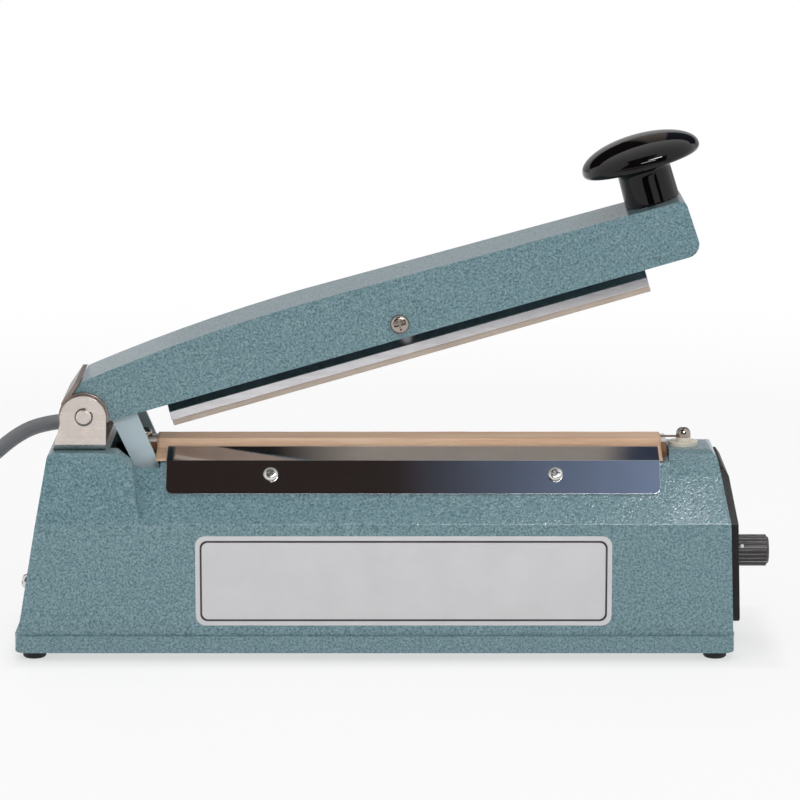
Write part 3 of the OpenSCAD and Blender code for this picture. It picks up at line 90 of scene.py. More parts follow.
class Paint:
    """A material with its node tree, and short calls for the nodes that it needs."""

    def __init__(self, name, color=(128, 128, 128), rough=0.5, metal=0.0, **sockets):
        self.mat = bpy.data.materials.new(name)
        self.mat.use_nodes = True
        self.tree = self.mat.node_tree
        self.bsdf = self.tree.nodes["Principled BSDF"]
        self.bsdf.inputs["Base Color"].default_value = lin(*color)
        self.bsdf.inputs["Roughness"].default_value = rough
        self.bsdf.inputs["Metallic"].default_value = metal
        for key, value in sockets.items():
            self.bsdf.inputs[key.replace("_", " ")].default_value = value

    def node(self, kind, **inputs):
        made = self.tree.nodes.new(kind)
        for key, value in inputs.items():
            if hasattr(value, "is_linked"):
                self.tree.links.new(value, made.inputs[key])
            else:
                made.inputs[key].default_value = value
        return made

    def coords(self, scale=(1, 1, 1)):
        place = self.node("ShaderNodeMapping", Scale=scale)
        self.tree.links.new(self.tree.nodes.new("ShaderNodeTexCoord").outputs["Object"], place.inputs["Vector"])
        return place.outputs["Vector"]

    def noise(self, scale, detail=2.0, rough=0.5, stretch=(1, 1, 1), distortion=0.0):
        made = self.node("ShaderNodeTexNoise", Vector=self.coords(stretch), Scale=scale, Detail=detail,
                         Roughness=rough, Distortion=distortion)
        return made.outputs["Fac"]

    def ramp(self, fac, stops):
        made = self.node("ShaderNodeValToRGB", Fac=fac)
        band = made.color_ramp
        while len(band.elements) < len(stops):
            band.elements.new(0.5)
        for element, (at, color) in zip(band.elements, stops):
            element.position = at
            element.color = color if len(color) == 4 else lin(*color)
        return made.outputs["Color"]

    def grey(self, fac, low, high, start=0.0, end=1.0):
        made = self.node("ShaderNodeMapRange", Value=fac)
        for key, value in (("From Min", start), ("From Max", end), ("To Min", low), ("To Max", high)):
            made.inputs[key].default_value = value
        return made.outputs["Result"]

    def mix(self, fac, a, b, how="MIX"):
        made = self.tree.nodes.new("ShaderNodeMix")
        made.data_type = "RGBA"
        made.blend_type = how
        for index, value in ((0, fac), (6, a), (7, b)):
            if hasattr(value, "is_linked"):
                self.tree.links.new(value, made.inputs[index])
            elif index:
                made.inputs[index].default_value = lin(*value)
            else:
                made.inputs[index].default_value = value
        return made.outputs[2]

    def math(self, how, *values):
        made = self.tree.nodes.new("ShaderNodeMath")
        made.operation = how
        for value, socket in zip(values, made.inputs):
            if hasattr(value, "is_linked"):
                self.tree.links.new(value, socket)
            else:
                socket.default_value = value
        return made.outputs[0]

    def link(self, value, socket):
        self.tree.links.new(value, self.bsdf.inputs[socket])
        return self

    def bump(self, height, strength, distance):
        made = self.node("ShaderNodeBump", Height=height, Strength=strength, Distance=distance)
        below = self.bsdf.inputs["Normal"]
        if below.is_linked:
            self.tree.links.new(below.links[0].from_socket, made.inputs["Normal"])
        self.tree.links.new(made.outputs["Normal"], below)
        return self


def hammertone():
    """Stoved hammer finish: dark pools in a lighter net, dimpled and glossy."""
    p = Paint("hammertone", rough=0.32, metal=0.0, Coat_Weight=0.8, Coat_Roughness=0.02,
              Specular_IOR_Level=0.1)
    cells = p.noise(1150, 1.0, 0.5, distortion=0.6)
    fine = p.noise(2600, 1.0, 0.5)
    broad = p.noise(9, 2.0, 0.5)
    net = p.ramp(cells, [(0.36, (84, 116, 124)), (0.45, (107, 138, 146)), (0.56, (118, 149, 157)),
                         (0.68, (139, 167, 173))])
    net = p.mix(p.grey(fine, 0.0, 0.22, 0.45, 0.75), net, (131, 157, 164))
    net = p.mix(p.grey(broad, 0.0, 0.12, 0.35, 0.7), net, (109, 137, 145))
    p.link(net, "Base Color")
    p.link(p.grey(cells, 0.42, 0.26, 0.3, 0.7), "Roughness")
    p.bump(cells, 0.9, 0.00016)
    p.bump(fine, 0.12, 0.00005)
    p.link(p.bsdf.inputs["Normal"].links[0].from_socket, "Coat Normal")
    return p.mat


def metal(name, color, rough, grain=(1, 1, 1), scale=900, depth=0.06, vary=12, **sockets):
    """Bare or plated metal with fine grain, slight stains and changing gloss."""
    p = Paint(name, color, rough, 1.0, **sockets)
    lines = p.noise(scale, 3.0, 0.6, grain)
    cloud = p.noise(55, 3.0, 0.6)
    dark = tuple(max(0, c - vary) for c in color)
    light = tuple(min(255, c + vary // 2) for c in color)
    tone = p.ramp(cloud, [(0.3, dark), (0.65, light)])
    p.link(p.mix(p.grey(lines, 0.0, 0.35, 0.4, 0.75), tone, dark), "Base Color")
    p.link(p.grey(lines, rough * 0.75, rough * 1.35, 0.3, 0.7), "Roughness")
    p.bump(lines, depth, 0.00004)
    return p.mat


def plastic(name, color, rough, scale=1400, depth=0.15, vary=6, **sockets):
    """Moulded plastic or rubber with a fine skin."""
    p = Paint(name, color, rough, **sockets)
    skin = p.noise(scale, 2.0, 0.5)
    cloud = p.noise(70, 3.0, 0.55)
    dark = tuple(max(0, c - vary) for c in color)
    light = tuple(min(255, c + vary) for c in color)
    p.link(p.ramp(cloud, [(0.3, dark), (0.7, light)]), "Base Color")
    p.link(p.grey(skin, rough * 0.85, rough * 1.2, 0.3, 0.7), "Roughness")
    p.bump(skin, depth, 0.00005)
    return p.mat


def woven(name, dark, light, pitch):
    """Coated glass cloth: a plain weave of threads under a matt film."""
    p = Paint(name, light, 0.5, Specular_IOR_Level=0.25)
    split = p.tree.nodes.new("ShaderNodeSeparateXYZ")
    p.tree.links.new(p.coords(), split.inputs[0])

    def wave(axis, phase):
        return p.math("SINE", p.math("MULTIPLY_ADD", split.outputs[axis], math.pi / pitch, phase))

    weave = p.grey(p.math("MULTIPLY", wave(0, 0.0), wave(1, math.pi / 2)), 0.0, 1.0, -1.0, 1.0)
    streak = p.noise(260, 3.0, 0.6, (0.05, 1, 1))
    cloud = p.noise(40, 2.0, 0.5)
    tone = p.ramp(streak, [(0.3, dark), (0.68, light)])
    tone = p.mix(p.grey(cloud, 0.0, 0.3, 0.4, 0.75), tone, dark)
    p.link(p.mix(p.grey(weave, 0.0, 0.16), tone, dark), "Base Color")
    p.bump(weave, 0.2, 0.00006)
    p.bump(streak, 0.1, 0.00006)
    return p.mat


PAINT = hammertone()
NICKEL = metal("satin_nickel", (228, 217, 210), 0.3, (0.2, 1, 1), 700, 0.05, 10)
STEEL = metal("bright_steel", (214, 213, 210), 0.2, vary=14)
# The hinge leaf's nickel: a darker, browner copy of the satin nickel, with the leaf's shade painted into its
# colour.
LEAF_SHADED_NICKEL = metal("leaf_nickel_shaded", (160, 146, 139), 0.34, (0.2, 1, 1), 700, 0.05, 12)
BROWN_STEEL = metal("screw_steel", (168, 158, 150), 0.16, vary=14)
DARK_STEEL = metal("dark_steel", (120, 120, 122), 0.38, vary=14)
CHROME = metal("bright_chrome", (226, 227, 230), 0.05, (0.08, 1, 1), 420, 0.012, 6)
ALUMINIUM = metal("bar_aluminium", (212, 211, 214), 0.17, (0.04, 1, 1), 700, 0.03, 8)
BRASS = metal("brass_pin", (200, 170, 105), 0.25, vary=14)
COPPER = metal("copper_winding", (176, 98, 56), 0.35, (1, 1, 9), 260, 0.4, 18)
CORE = metal("core_iron", (92, 92, 94), 0.5, (1, 14, 1), 160, 0.4, 18)
ELEMENT = metal("element_alloy", (150, 128, 108), 0.35, vary=16)
ZINC = metal("zinc_sheet", (168, 172, 176), 0.36, vary=16)
LEVER = plastic("lever_paint", (190, 208, 215), 0.34, 900, 0.05, 5, Coat_Weight=0.25, Coat_Roughness=0.2)
GLOSS = plastic("black_gloss", (11, 8, 8), 0.035, 300, 0.01, 3, Specular_IOR_Level=0.3)
PANEL = plastic("panel_black", (22, 20, 20), 0.46, 1500, 0.4, 5, Specular_IOR_Level=0.3)
KNOB = plastic("black_plastic", (58, 54, 55), 0.22, 1500, 0.1, 5)
RUBBER = plastic("black_rubber", (24, 24, 25), 0.6, 1200, 0.25, 5)
SILICONE = plastic("silicone", (196, 180, 166), 0.55, 900, 0.2, 8)
CORD = plastic("grey_cord", (120, 121, 124), 0.42, 600, 0.12, 5)
PLUG = plastic("grey_plug", (104, 105, 108), 0.45, 1300, 0.25, 5)
BOARD = plastic("green_board", (38, 92, 58), 0.4, 500, 0.08, 12)
BLUE = plastic("blue_plastic", (38, 48, 96), 0.3, 500, 0.05, 8)
IVORY = plastic("ivory_plastic", (226, 219, 204), 0.4, 900, 0.1, 6)
WHITE = plastic("white_insulation", (226, 224, 218), 0.55, 800, 0.25, 8)
INK = plastic("printed_ink", (52, 48, 48), 0.5, 1200, 0.05, 4)
MARK = plastic("white_mark", (236, 236, 232), 0.45, 1200, 0.05, 4)
LABEL = plastic("label_film", (216, 215, 217), 0.42, 1600, 0.06, 3)
PHENOLIC = plastic("phenolic", (128, 86, 56), 0.5, 700, 0.2, 14)
LENS = plastic("red_lens", (196, 34, 26), 0.12, 200, 0.02, 10, Transmission_Weight=0.35, IOR=1.46)
CLOTH = woven("ptfe_cloth", (208, 168, 136), (238, 209, 180), 0.0006)

FINISH = {
    "base_housing": PAINT, "arm_casting": PAINT, "bottom_plate": ZINC, "rubber_feet": RUBBER,
    "foot_screws": STEEL, "hinge_bracket": NICKEL, "bracket_screws": STEEL, "hinge_pin": NICKEL,
    "platen_bar": PHENOLIC, "platen_screws": STEEL, "insulating_strip": WHITE, "heating_element": ELEMENT,
    "terminal_insulator": IVORY, "terminal_screws": BROWN_STEEL, "ptfe_cover": CLOTH,
    "clamp_plate_front": CHROME, "clamp_plate_rear": CHROME, "clamp_screws": STEEL, "end_panel": PANEL,
    "panel_screws": DARK_STEEL, "signal_lamp": LENS, "potentiometer": ZINC, "potentiometer_nut": STEEL,
    "timer_board": BOARD, "board_capacitor": BLUE, "board_relay": KNOB, "transformer_core": CORE,
    "transformer_winding": COPPER, "transformer_frame": ZINC, "transformer_screws": STEEL,
    "switch_bracket": ZINC, "end_screws": STEEL, "microswitch": KNOB, "switch_plunger": LENS,
    "return_spring": STEEL, "cord_bush": RUBBER, "arm_hinge_leaf": LEAF_SHADED_NICKEL, "leaf_rivets": STEEL,
    "lift_lever": LEVER, "lever_screws": STEEL, "handle_knob": GLOSS, "knob_screw": STEEL,
    "cross_screw": BROWN_STEEL, "cross_nut": STEEL, "cross_spacers": ZINC, "press_bar": ALUMINIUM,
    "silicone_strip": SILICONE, "timer_knob": KNOB, "timer_shaft": STEEL, "cord_lead": CORD,
    "cord_coil": CORD, "cord_tie": RUBBER, "plug_body": PLUG, "plug_pins": BRASS,
}
for name, material in FINISH.items():
    nodes[name].data.materials.clear()
    nodes[name].data.materials.append(material)


# Shapes

def smooth_group(degrees):
    """Geometry nodes that shade smooth across edges flatter than the angle."""
    g = bpy.data.node_groups.new(f"smooth_{degrees}", "GeometryNodeTree")
    g.interface.new_socket("Geometry", in_out="INPUT", socket_type="NodeSocketGeometry")
    g.interface.new_socket("Geometry", in_out="OUTPUT", socket_type="NodeSocketGeometry")
    start, end = g.nodes.new("NodeGroupInput"), g.nodes.new("NodeGroupOutput")
    faces, edges = g.nodes.new("GeometryNodeSetShadeSmooth"), g.nodes.new("GeometryNodeSetShadeSmooth")
    edges.domain = "EDGE"
    angle, test = g.nodes.new("GeometryNodeInputMeshEdgeAngle"), g.nodes.new("FunctionNodeCompare")
    test.operation = "LESS_THAN"
    test.inputs[1].default_value = math.radians(degrees)
    g.links.new(angle.outputs[0], test.inputs[0])
    g.links.new(start.outputs[0], faces.inputs["Geometry"])
    g.links.new(faces.outputs[0], edges.inputs["Geometry"])
    g.links.new(test.outputs[0], edges.inputs["Shade Smooth"])
    g.links.new(edges.outputs[0], end.inputs[0])
    return g


SMOOTH, CRISP = smooth_group(32), smooth_group(15)


def soften(name, width=0.0, segments=3, angle=28, shade=SMOOTH):
    """Joins a node's split corners, rounds its sharp edges by width (mm) and shades it smooth."""
    o = nodes[name]
    weld = o.modifiers.new("weld", "WELD")
    weld.merge_threshold = 2e-6
    if width:
        flat = o.modifiers.new("flat", "DECIMATE")
        flat.decimate_type = "DISSOLVE"
        flat.angle_limit = math.radians(1.0)
        bevel = o.modifiers.new("bevel", "BEVEL")
        bevel.width = width * 0.001
        bevel.segments = segments
        bevel.limit_method = "ANGLE"
        bevel.angle_limit = math.radians(angle)
        bevel.use_clamp_overlap = True
        bevel.miter_outer = "MITER_ARC"
    smooth = o.modifiers.new("smooth", "NODES")
    smooth.node_group = shade
    if width:
        o.modifiers.new("normals", "WEIGHTED_NORMAL").keep_sharp = True


ROUNDING = {
    "base_housing": 1.6, "arm_casting": 2.0, "hinge_bracket": 0.35, "arm_hinge_leaf": 0.3, "lift_lever": 0.35,
    "clamp_plate_front": 0.4, "clamp_plate_rear": 0.4, "end_panel": 0.6, "press_bar": 0.25,
    "silicone_strip": 0.3, "platen_bar": 0.2, "plug_body": 0.8, "cord_tie": 0.2, "transformer_frame": 0.2,
    "microswitch": 0.3, "board_relay": 0.4, "timer_board": 0.1, "plug_pins": 0.3, "potentiometer_nut": 0.2,
    "cross_nut": 0.2, "bottom_plate": 0.2,
}
for name in nodes:
    if name == "press_bar":
        soften(name, ROUNDING[name], 2, 15, CRISP)
    else:
        soften(name, ROUNDING.get(name, 0.0))


def piece(name, mesh, material, body):
    """A new object of that mesh, riding on a body."""
    o = bpy.data.objects.new(name, mesh)
    scene.collection.objects.link(o)
    o.data.materials.append(material)
    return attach(o, body)


def mesh_of(name, verts, faces, smooth=True):
    m = bpy.data.meshes.new(name)
    m.from_pydata([tuple(v) for v in verts], [], faces)
    m.update()
    m.polygons.foreach_set("use_smooth", [smooth] * len(m.polygons))
    return m


def ring_faces(n, rows, closed):
    """Faces that join rows of n points each, and the first row to the last where closed."""
    faces = []
    for i in range(rows if closed else rows - 1):
        for k in range(n):
            a, b = i * n + k, i * n + (k + 1) % n
            c, d = (i + 1) % rows * n + (k + 1) % n, (i + 1) % rows * n + k
            faces.append((a, b, c, d))
    return faces


# Cord, on the route of the CAD lead and coil

CORD_D = 6.8
LEAD = [(12, 38, 76), (12, 46, 76), (12, 54, 76), (12, 57, 76), (8, 70, 76), (-2, 80, 76), (-16, 84, 76),
        (-24, 84, 75.4), (-33, 84, 73), (-41, 84, 68.5), (-49, 84, 62), (-58, 84, 54), (-68, 83, 44.5),
        (-78, 82, 35), (-88, 81, 25.5), (-98, 80.5, 17), (-107, 80, 10), (-114, 80, 5.6), (-120, 80, 4.6),
        (-127, 80, 4.6)]
COIL_X, COIL_R, COIL_STEP, COIL_RISE, COIL_TURNS, RINGS = -134.0, 51.5, 8.6, 7.4, 2.5, 24
TAIL, TAIL_STEPS = 62.0, 3
COIL_Y, COIL_Z = LEAD[-1][1] - COIL_R, LEAD[-1][2]


def coil_points():
    """The put-away coil: a layer inwards, a climb, a layer outwards, then the tail to the plug."""
    inner = COIL_R - COIL_TURNS * COIL_STEP
    low, climb, top = int(COIL_TURNS * RINGS), RINGS // 2, int((COIL_TURNS - 0.5) * RINGS)
    made = []
    for i in range(low + climb + top + 1):
        if i < low:
            r = COIL_R - COIL_STEP * i / RINGS
        else:
            r = inner + COIL_STEP * max(0, i - low - climb) / RINGS
        a = math.pi / 2 + 2 * math.pi * i / RINGS
        z = COIL_Z + COIL_RISE * max(0.0, min(1.0, (i - low) / climb))
        made.append((COIL_X + r * math.cos(a), COIL_Y + r * math.sin(a), z))
    x, y, z = made[-1]
    return made + [(x - TAIL * k / TAIL_STEPS, y, z) for k in range(1, TAIL_STEPS + 1)]


def catmull(points, steps):
    """A smooth line through the points."""
    p = [Vector(q) for q in points]
    p = [2 * p[0] - p[1]] + p + [2 * p[-1] - p[-2]]
    line = []
    for a, b, c, d in zip(p, p[1:], p[2:], p[3:]):
        for k in range(steps):
            t = k / steps
            line.append(0.5 * (2 * b + (c - a) * t + (2 * a - 5 * b + 4 * c - d) * t * t
                               + (3 * b - a - 3 * c + d) * t ** 3))
    return line + [p[-2]]


def hull(points):
    """The convex outline of the points, anticlockwise."""
    made = []
    for way in (1, -1):
        side = []
        for q in sorted(points)[::way]:
            while len(side) > 1 and ((side[-1][0] - side[-2][0]) * (q[1] - side[-2][1])
                                     - (side[-1][1] - side[-2][1]) * (q[0] - side[-2][0])) <= 0:
                side.pop()
            side.append(q)
        made += side[:-1]
    return made


TIE_W, TIE_T, TIE_GAP, TIE_EDGE, TIE_SIDES = 9.0, 0.7, 0.3, 0.3, 32


def tie_strap():
    """A strap drawn round the coil's turns where they cross the tie's place."""
    turns = [(COIL_Y - y, z) for x, y, z in coil_points()[:-TAIL_STEPS]
             if abs(x - COIL_X) < 0.01 and y < COIL_Y]
    angles = [2 * math.pi * k / TIE_SIDES for k in range(TIE_SIDES)]
    inside, outside = (hull([(a + r * math.cos(t), z + r * math.sin(t)) for a, z in turns for t in angles])
                       for r in (CORD_D / 2 + TIE_GAP, CORD_D / 2 + TIE_GAP + TIE_T))
    half = TIE_W / 2
    rows = ((inside, -half), (outside, TIE_EDGE - half), (outside, half - TIE_EDGE), (inside, half))
    verts = [mm(COIL_X + x, COIL_Y - a, z) for loop, x in rows for a, z in loop]
    faces = ring_faces(len(inside), len(rows), True)
    return piece("tie_strap", mesh_of("tie_strap", verts, faces), RUBBER, "base")


def cord_curve():
    """The supply cord, with the strap round its coil."""
    line = [mm(*q) for q in catmull(LEAD + coil_points(), 3)]
    c = bpy.data.curves.new("supply_cord", "CURVE")
    c.dimensions = "3D"
    s = c.splines.new("POLY")
    s.points.add(len(line) - 1)
    for at, q in zip(s.points, line):
        at.co = (*q, 1)
    c.bevel_depth = CORD_D / 2 * 0.001
    c.bevel_resolution = 5
    c.use_fill_caps = True
    s.use_smooth = True
    o = bpy.data.objects.new("supply_cord", c)
    scene.collection.objects.link(o)
    c.materials.append(CORD)
    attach(o, "base")
    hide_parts("cord_lead", "cord_coil")
    strap = tie_strap()
    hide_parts("cord_tie")


cord_curve()


# Cloth over the platen, on the section of the CAD cover

CLOTH_ENDS = (29.0, 240.1)
CLOTH_FOLDS = [(-20.0, 81.2, 0), (-9.5, 83.8, 2.0), (-7.1, 83.8, 0.5), (-6.5, 88.0, 0.7),
               (6.5, 88.0, 0.7), (7.1, 83.8, 0.5), (9.5, 83.8, 2.0), (20.0, 81.2, 0)]
CLOTH_T = 0.35
CLOTH_SAG = 0.05
CLOTH_ROWS = 170


def rounded(points, steps=4):
    """An open line of (a, b, radius) corners with each corner turned by an arc."""
    made = []
    for k, (a, b, r) in enumerate(points):
        if not r:
            made.append((a, b))
            continue
        here = Vector((a, b))
        back = (Vector(points[k - 1][:2]) - here).normalized()
        ahead = (Vector(points[k + 1][:2]) - here).normalized()
        half = back.angle(ahead) / 2
        start, end = here + back * r / math.tan(half), here + ahead * r / math.tan(half)
        centre = here + (back + ahead).normalized() * r / math.sin(half)
        for n in range(steps + 1):
            at = start.lerp(end, n / steps) - centre
            made.append(tuple(centre + at.normalized() * r))
    return made


def filled(line, gap):
    """The line with its long stretches cut into steps of about gap."""
    made = [line[0]]
    for a, b in zip(line, line[1:]):
        n = max(1, round((Vector(b) - Vector(a)).length / gap))
        made += [tuple(Vector(a).lerp(Vector(b), k / n)) for k in range(1, n + 1)]
    return made


def cloth_cover():
    """A sheet drawn over the platen, with slack ripples that fade at its clamped edges."""
    line = filled(rounded(CLOTH_FOLDS), 1.6)
    inward = []
    for k in range(len(line)):
        a, b = Vector(line[max(0, k - 1)]), Vector(line[min(len(line) - 1, k + 1)])
        inward.append(Vector((b[1] - a[1], a[0] - b[0])).normalized())
    rows, n = CLOTH_ROWS, len(line)
    verts = []
    for depth in (0.0, CLOTH_T):
        for i in range(rows + 1):
            u = CLOTH_ENDS[0] + (CLOTH_ENDS[1] - CLOTH_ENDS[0]) * i / rows
            for k, (q, way) in enumerate(zip(line, inward)):
                slack = math.sin(math.pi * k / (n - 1)) ** 2
                wave = math.sin(0.19 * u + 0.9) * math.sin(0.053 * u) + 0.5 * math.sin(0.41 * u + 0.35 * k)
                sink = depth + CLOTH_SAG * slack * (1.0 + wave / 1.5)
                verts.append(mm(u, q[0] + way[0] * sink, q[1] + way[1] * sink))
    size = (rows + 1) * n
    faces = []
    for i in range(rows):
        for k in range(n - 1):
            a, b, c, d = i * n + k, (i + 1) * n + k, (i + 1) * n + k + 1, i * n + k + 1
            faces += [(d, c, b, a), (a + size, b + size, c + size, d + size)]
        for k in (0, n - 1):
            a, b = i * n + k, (i + 1) * n + k
            faces.append((a, b, b + size, a + size) if k == 0 else (b, a, a + size, b + size))
    for i in (0, rows):
        for k in range(n - 1):
            a, b = i * n + k, i * n + k + 1
            faces.append((b, a, a + size, b + size) if i == 0 else (a, b, b + size, a + size))
    o = piece("ptfe_cloth", mesh_of("ptfe_cloth", verts, faces), CLOTH, "base")
    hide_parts("ptfe_cover")


cloth_cover()


# Return spring between its seat and the lift lever

SPRING = {"y": -5.5, "z": 64.0, "start": -8.0, "end": 23.5, "d": 10.0, "wire": 1.2, "curls": 11}


def tube(name, path, radius, sides=10):
    """A closed round bar along a line of points (mm)."""
    path = [Vector(q) for q in path]
    verts, faces = [], []
    side = None
    for k, q in enumerate(path):
        way = (path[min(k + 1, len(path) - 1)] - path[max(k - 1, 0)]).normalized()
        side = way.orthogonal() if side is None else side - way * side.dot(way)
        side.normalize()
        other = way.cross(side)
        for n in range(sides):
            a = 2 * math.pi * n / sides
            verts.append(mm(*(q + (side * math.cos(a) + other * math.sin(a)) * radius)))
    for k in range(len(path) - 1):
        for n in range(sides):
            a, b = k * sides + n, k * sides + (n + 1) % sides
            faces.append((a, b, b + sides, a + sides))
    last = (len(path) - 1) * sides
    faces += [tuple(range(sides - 1, -1, -1)), tuple(range(last, last + sides))]
    return mesh_of(name, verts, faces)


def spring():
    """A compression spring with a closed curl at each end."""
    g = SPRING
    steps, r = 30, (g["d"] - g["wire"]) / 2
    free = g["end"] - g["start"] - g["wire"]
    open_pitch = (free - 2 * g["wire"]) / (g["curls"] - 2)
    x, path = g["start"] + g["wire"] / 2, []
    for k in range(g["curls"] * steps + 1):
        a = 2 * math.pi * k / steps
        path.append((x, g["y"] + r * math.cos(a), g["z"] + r * math.sin(a)))
        tight = k < steps or k >= (g["curls"] - 1) * steps
        x += (g["wire"] if tight else open_pitch) / steps
    o = piece("coil_spring", tube("coil_spring", path, g["wire"] / 2), STEEL, "base")
    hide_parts("return_spring")
    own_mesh(o)


spring()


# Dark open wire rings round the hinge pin on the bracket's ears: painted shade of the gap round the pin, broken
# at the upper right

RING_Y, RING_R, RING_WIRE_R, RING_START, RING_TURN, RING_STEPS = 24.2, 3.5, 0.3, 70, 328, 48


def pin_shadow_rings():
    for name, y in (("pin_shadow_ring_front", -RING_Y), ("pin_shadow_ring_rear", RING_Y)):
        path = []
        for k in range(RING_STEPS + 1):
            a = math.radians(RING_START + RING_TURN * k / RING_STEPS)
            path.append((RING_R * math.cos(a), y, PIN_Z + RING_R * math.sin(a)))
        # A dark steel ring drawn round the pin as painted shade of the gap between pin and ear.
        o = piece(name, tube(name, path, RING_WIRE_R, 8), DARK_STEEL, "base")


pin_shadow_rings()


# Bare label plate on the front wall, with a border line

LABEL_BOX = (46.2, 218.4, 15.3, 53.2)
LABEL_R = 4.2
PLATE_ROWS = [(0.0, -0.3), (0.0, 0.22), (0.12, 0.3)]  # inset from the edge, and out from the wall
BORDER_ROWS = [(1.9, 0.25), (1.9, 0.35), (2.7, 0.35), (2.7, 0.25)]
WALL_Y, WALL_DRAFT, WALL_FOOT, WALL_RISE = 38.6, 0.6, 4.8, 53.2


def front_wall(u, z, out):
    """A point that far out from the drafted front wall."""
    return mm(u, -(WALL_Y - WALL_DRAFT * (z - WALL_FOOT) / WALL_RISE) - out, z)


def round_box(box, r, inset, steps=8):
    """The outline of a box (u0, u1, z0, z1) with round corners, moved in by inset."""
    u0, u1, z0, z1 = box[0] + inset, box[1] - inset, box[2] + inset, box[3] - inset
    r = r - inset * 0.6
    made = []
    for cu, cz, start in ((u1 - r, z0 + r, -90), (u1 - r, z1 - r, 0), (u0 + r, z1 - r, 90),
                          (u0 + r, z0 + r, 180)):
        for k in range(steps + 1):
            a = math.radians(start + 90 * k / steps)
            made.append((cu + r * math.cos(a), cz + r * math.sin(a)))
    return made


def label_rows(rows):
    return [front_wall(*q, out) for inset, out in rows for q in round_box(LABEL_BOX, LABEL_R, inset)]


def label():
    verts = label_rows(PLATE_ROWS)
    n = len(verts) // len(PLATE_ROWS)
    faces = ring_faces(n, len(PLATE_ROWS), False)
    faces += [tuple(range(n - 1, -1, -1)), tuple(range(2 * n, 3 * n))]
    plate = piece("label_plate", mesh_of("label_plate", verts, faces, False), LABEL, "base")
    verts, faces = label_rows(BORDER_ROWS), ring_faces(n, len(BORDER_ROWS), True)
    line = piece("label_border", mesh_of("label_border", verts, faces, False), INK, "base")


label()


# Timer dial: ticks on the end panel and a pointer dot on the knob

TIMER_Z = 38.0
PANEL_FACE, PANEL_LEAN, PANEL_FOOT, PANEL_TOP = 271.8, 1.2, 11.0, 57.5
TICK_COUNT, TICK_START, TICK_TURN, TICK_R = 11, -135, 27, 7.9
LONG_TICK, SHORT_TICK = (2.3, 0.34), (1.5, 0.24)  # length and half width
TICK_BELOW, TICK_ABOVE = -0.15, 0.14


def panel_face(y, z, out):
    """A point that far out from the leaning face of the end panel."""
    lean = PANEL_LEAN * (z - PANEL_FOOT) / (PANEL_TOP - PANEL_FOOT)
    return mm(PANEL_FACE - lean + out, y, z)


def ticks():
    verts, faces = [], []
    for k in range(TICK_COUNT):
        a = math.radians(TICK_START + TICK_TURN * k)
        way, side = Vector((math.sin(a), math.cos(a))), Vector((math.cos(a), -math.sin(a)))
        length, half = LONG_TICK if k % 5 == 0 else SHORT_TICK
        near, far = TICK_R, TICK_R + length
        first = len(verts)
        for out in (TICK_BELOW, TICK_ABOVE):
            for along, across in ((near, -half), (far, -half), (far, half), (near, half)):
                q = way * along + side * across
                verts.append(panel_face(q[0], TIMER_Z + q[1], out))
        faces += [tuple(first + n for n in f) for f in
                  ((3, 2, 1, 0), (4, 5, 6, 7), (0, 1, 5, 4), (1, 2, 6, 5), (2, 3, 7, 6), (3, 0, 4, 7))]
    o = piece("dial_ticks", mesh_of("dial_ticks", verts, faces, False), MARK, "base")


ticks()


def dot(name, centre, out, radius, rise, material, body, steps=20):
    """A low dome on a surface, looking along out."""
    out = Vector(out).normalized()
    side = out.orthogonal().normalized()
    other = out.cross(side)
    rows = [(1.0, -0.4), (1.0, 0.0), (0.86, 0.55), (0.5, 0.9)]
    verts = []
    for share, lift in rows:
        for k in range(steps):
            a = 2 * math.pi * k / steps
            rim = (side * math.cos(a) + other * math.sin(a)) * radius * share
            verts.append(mm(*(Vector(centre) + rim + out * rise * lift)))
    verts.append(mm(*(Vector(centre) + out * rise)))
    faces = ring_faces(steps, len(rows), False)
    top = (len(rows) - 1) * steps
    faces += [(top + k, top + (k + 1) % steps, len(verts) - 1) for k in range(steps)]
    faces.append(tuple(range(steps - 1, -1, -1)))
    o = piece(name, mesh_of(name, verts, faces), material, body)


POINTER_AT, POINTER_OUT, POINTER_R, POINTER_RISE = (275.1, -5.9, 41.1), (0, -0.886, 0.465), 0.85, 0.3
dot("timer_pointer", POINTER_AT, POINTER_OUT, POINTER_R, POINTER_RISE, MARK, "timer")


# Floor, light and background

# Share of the floor's glow: under the base and beside it, and from the middle outwards.
# The ends, sides and fade are in metres.
FLOOR_NEAR, FLOOR_ENDS, FLOOR_SIDES = (0.3, 0.79), (0.14, 0.165), (0.03, 0.052)
FLOOR_FAR, FLOOR_FADE = (0.6, 1.0), (0.2, 0.9)
FLOOR_HALF = 6.0


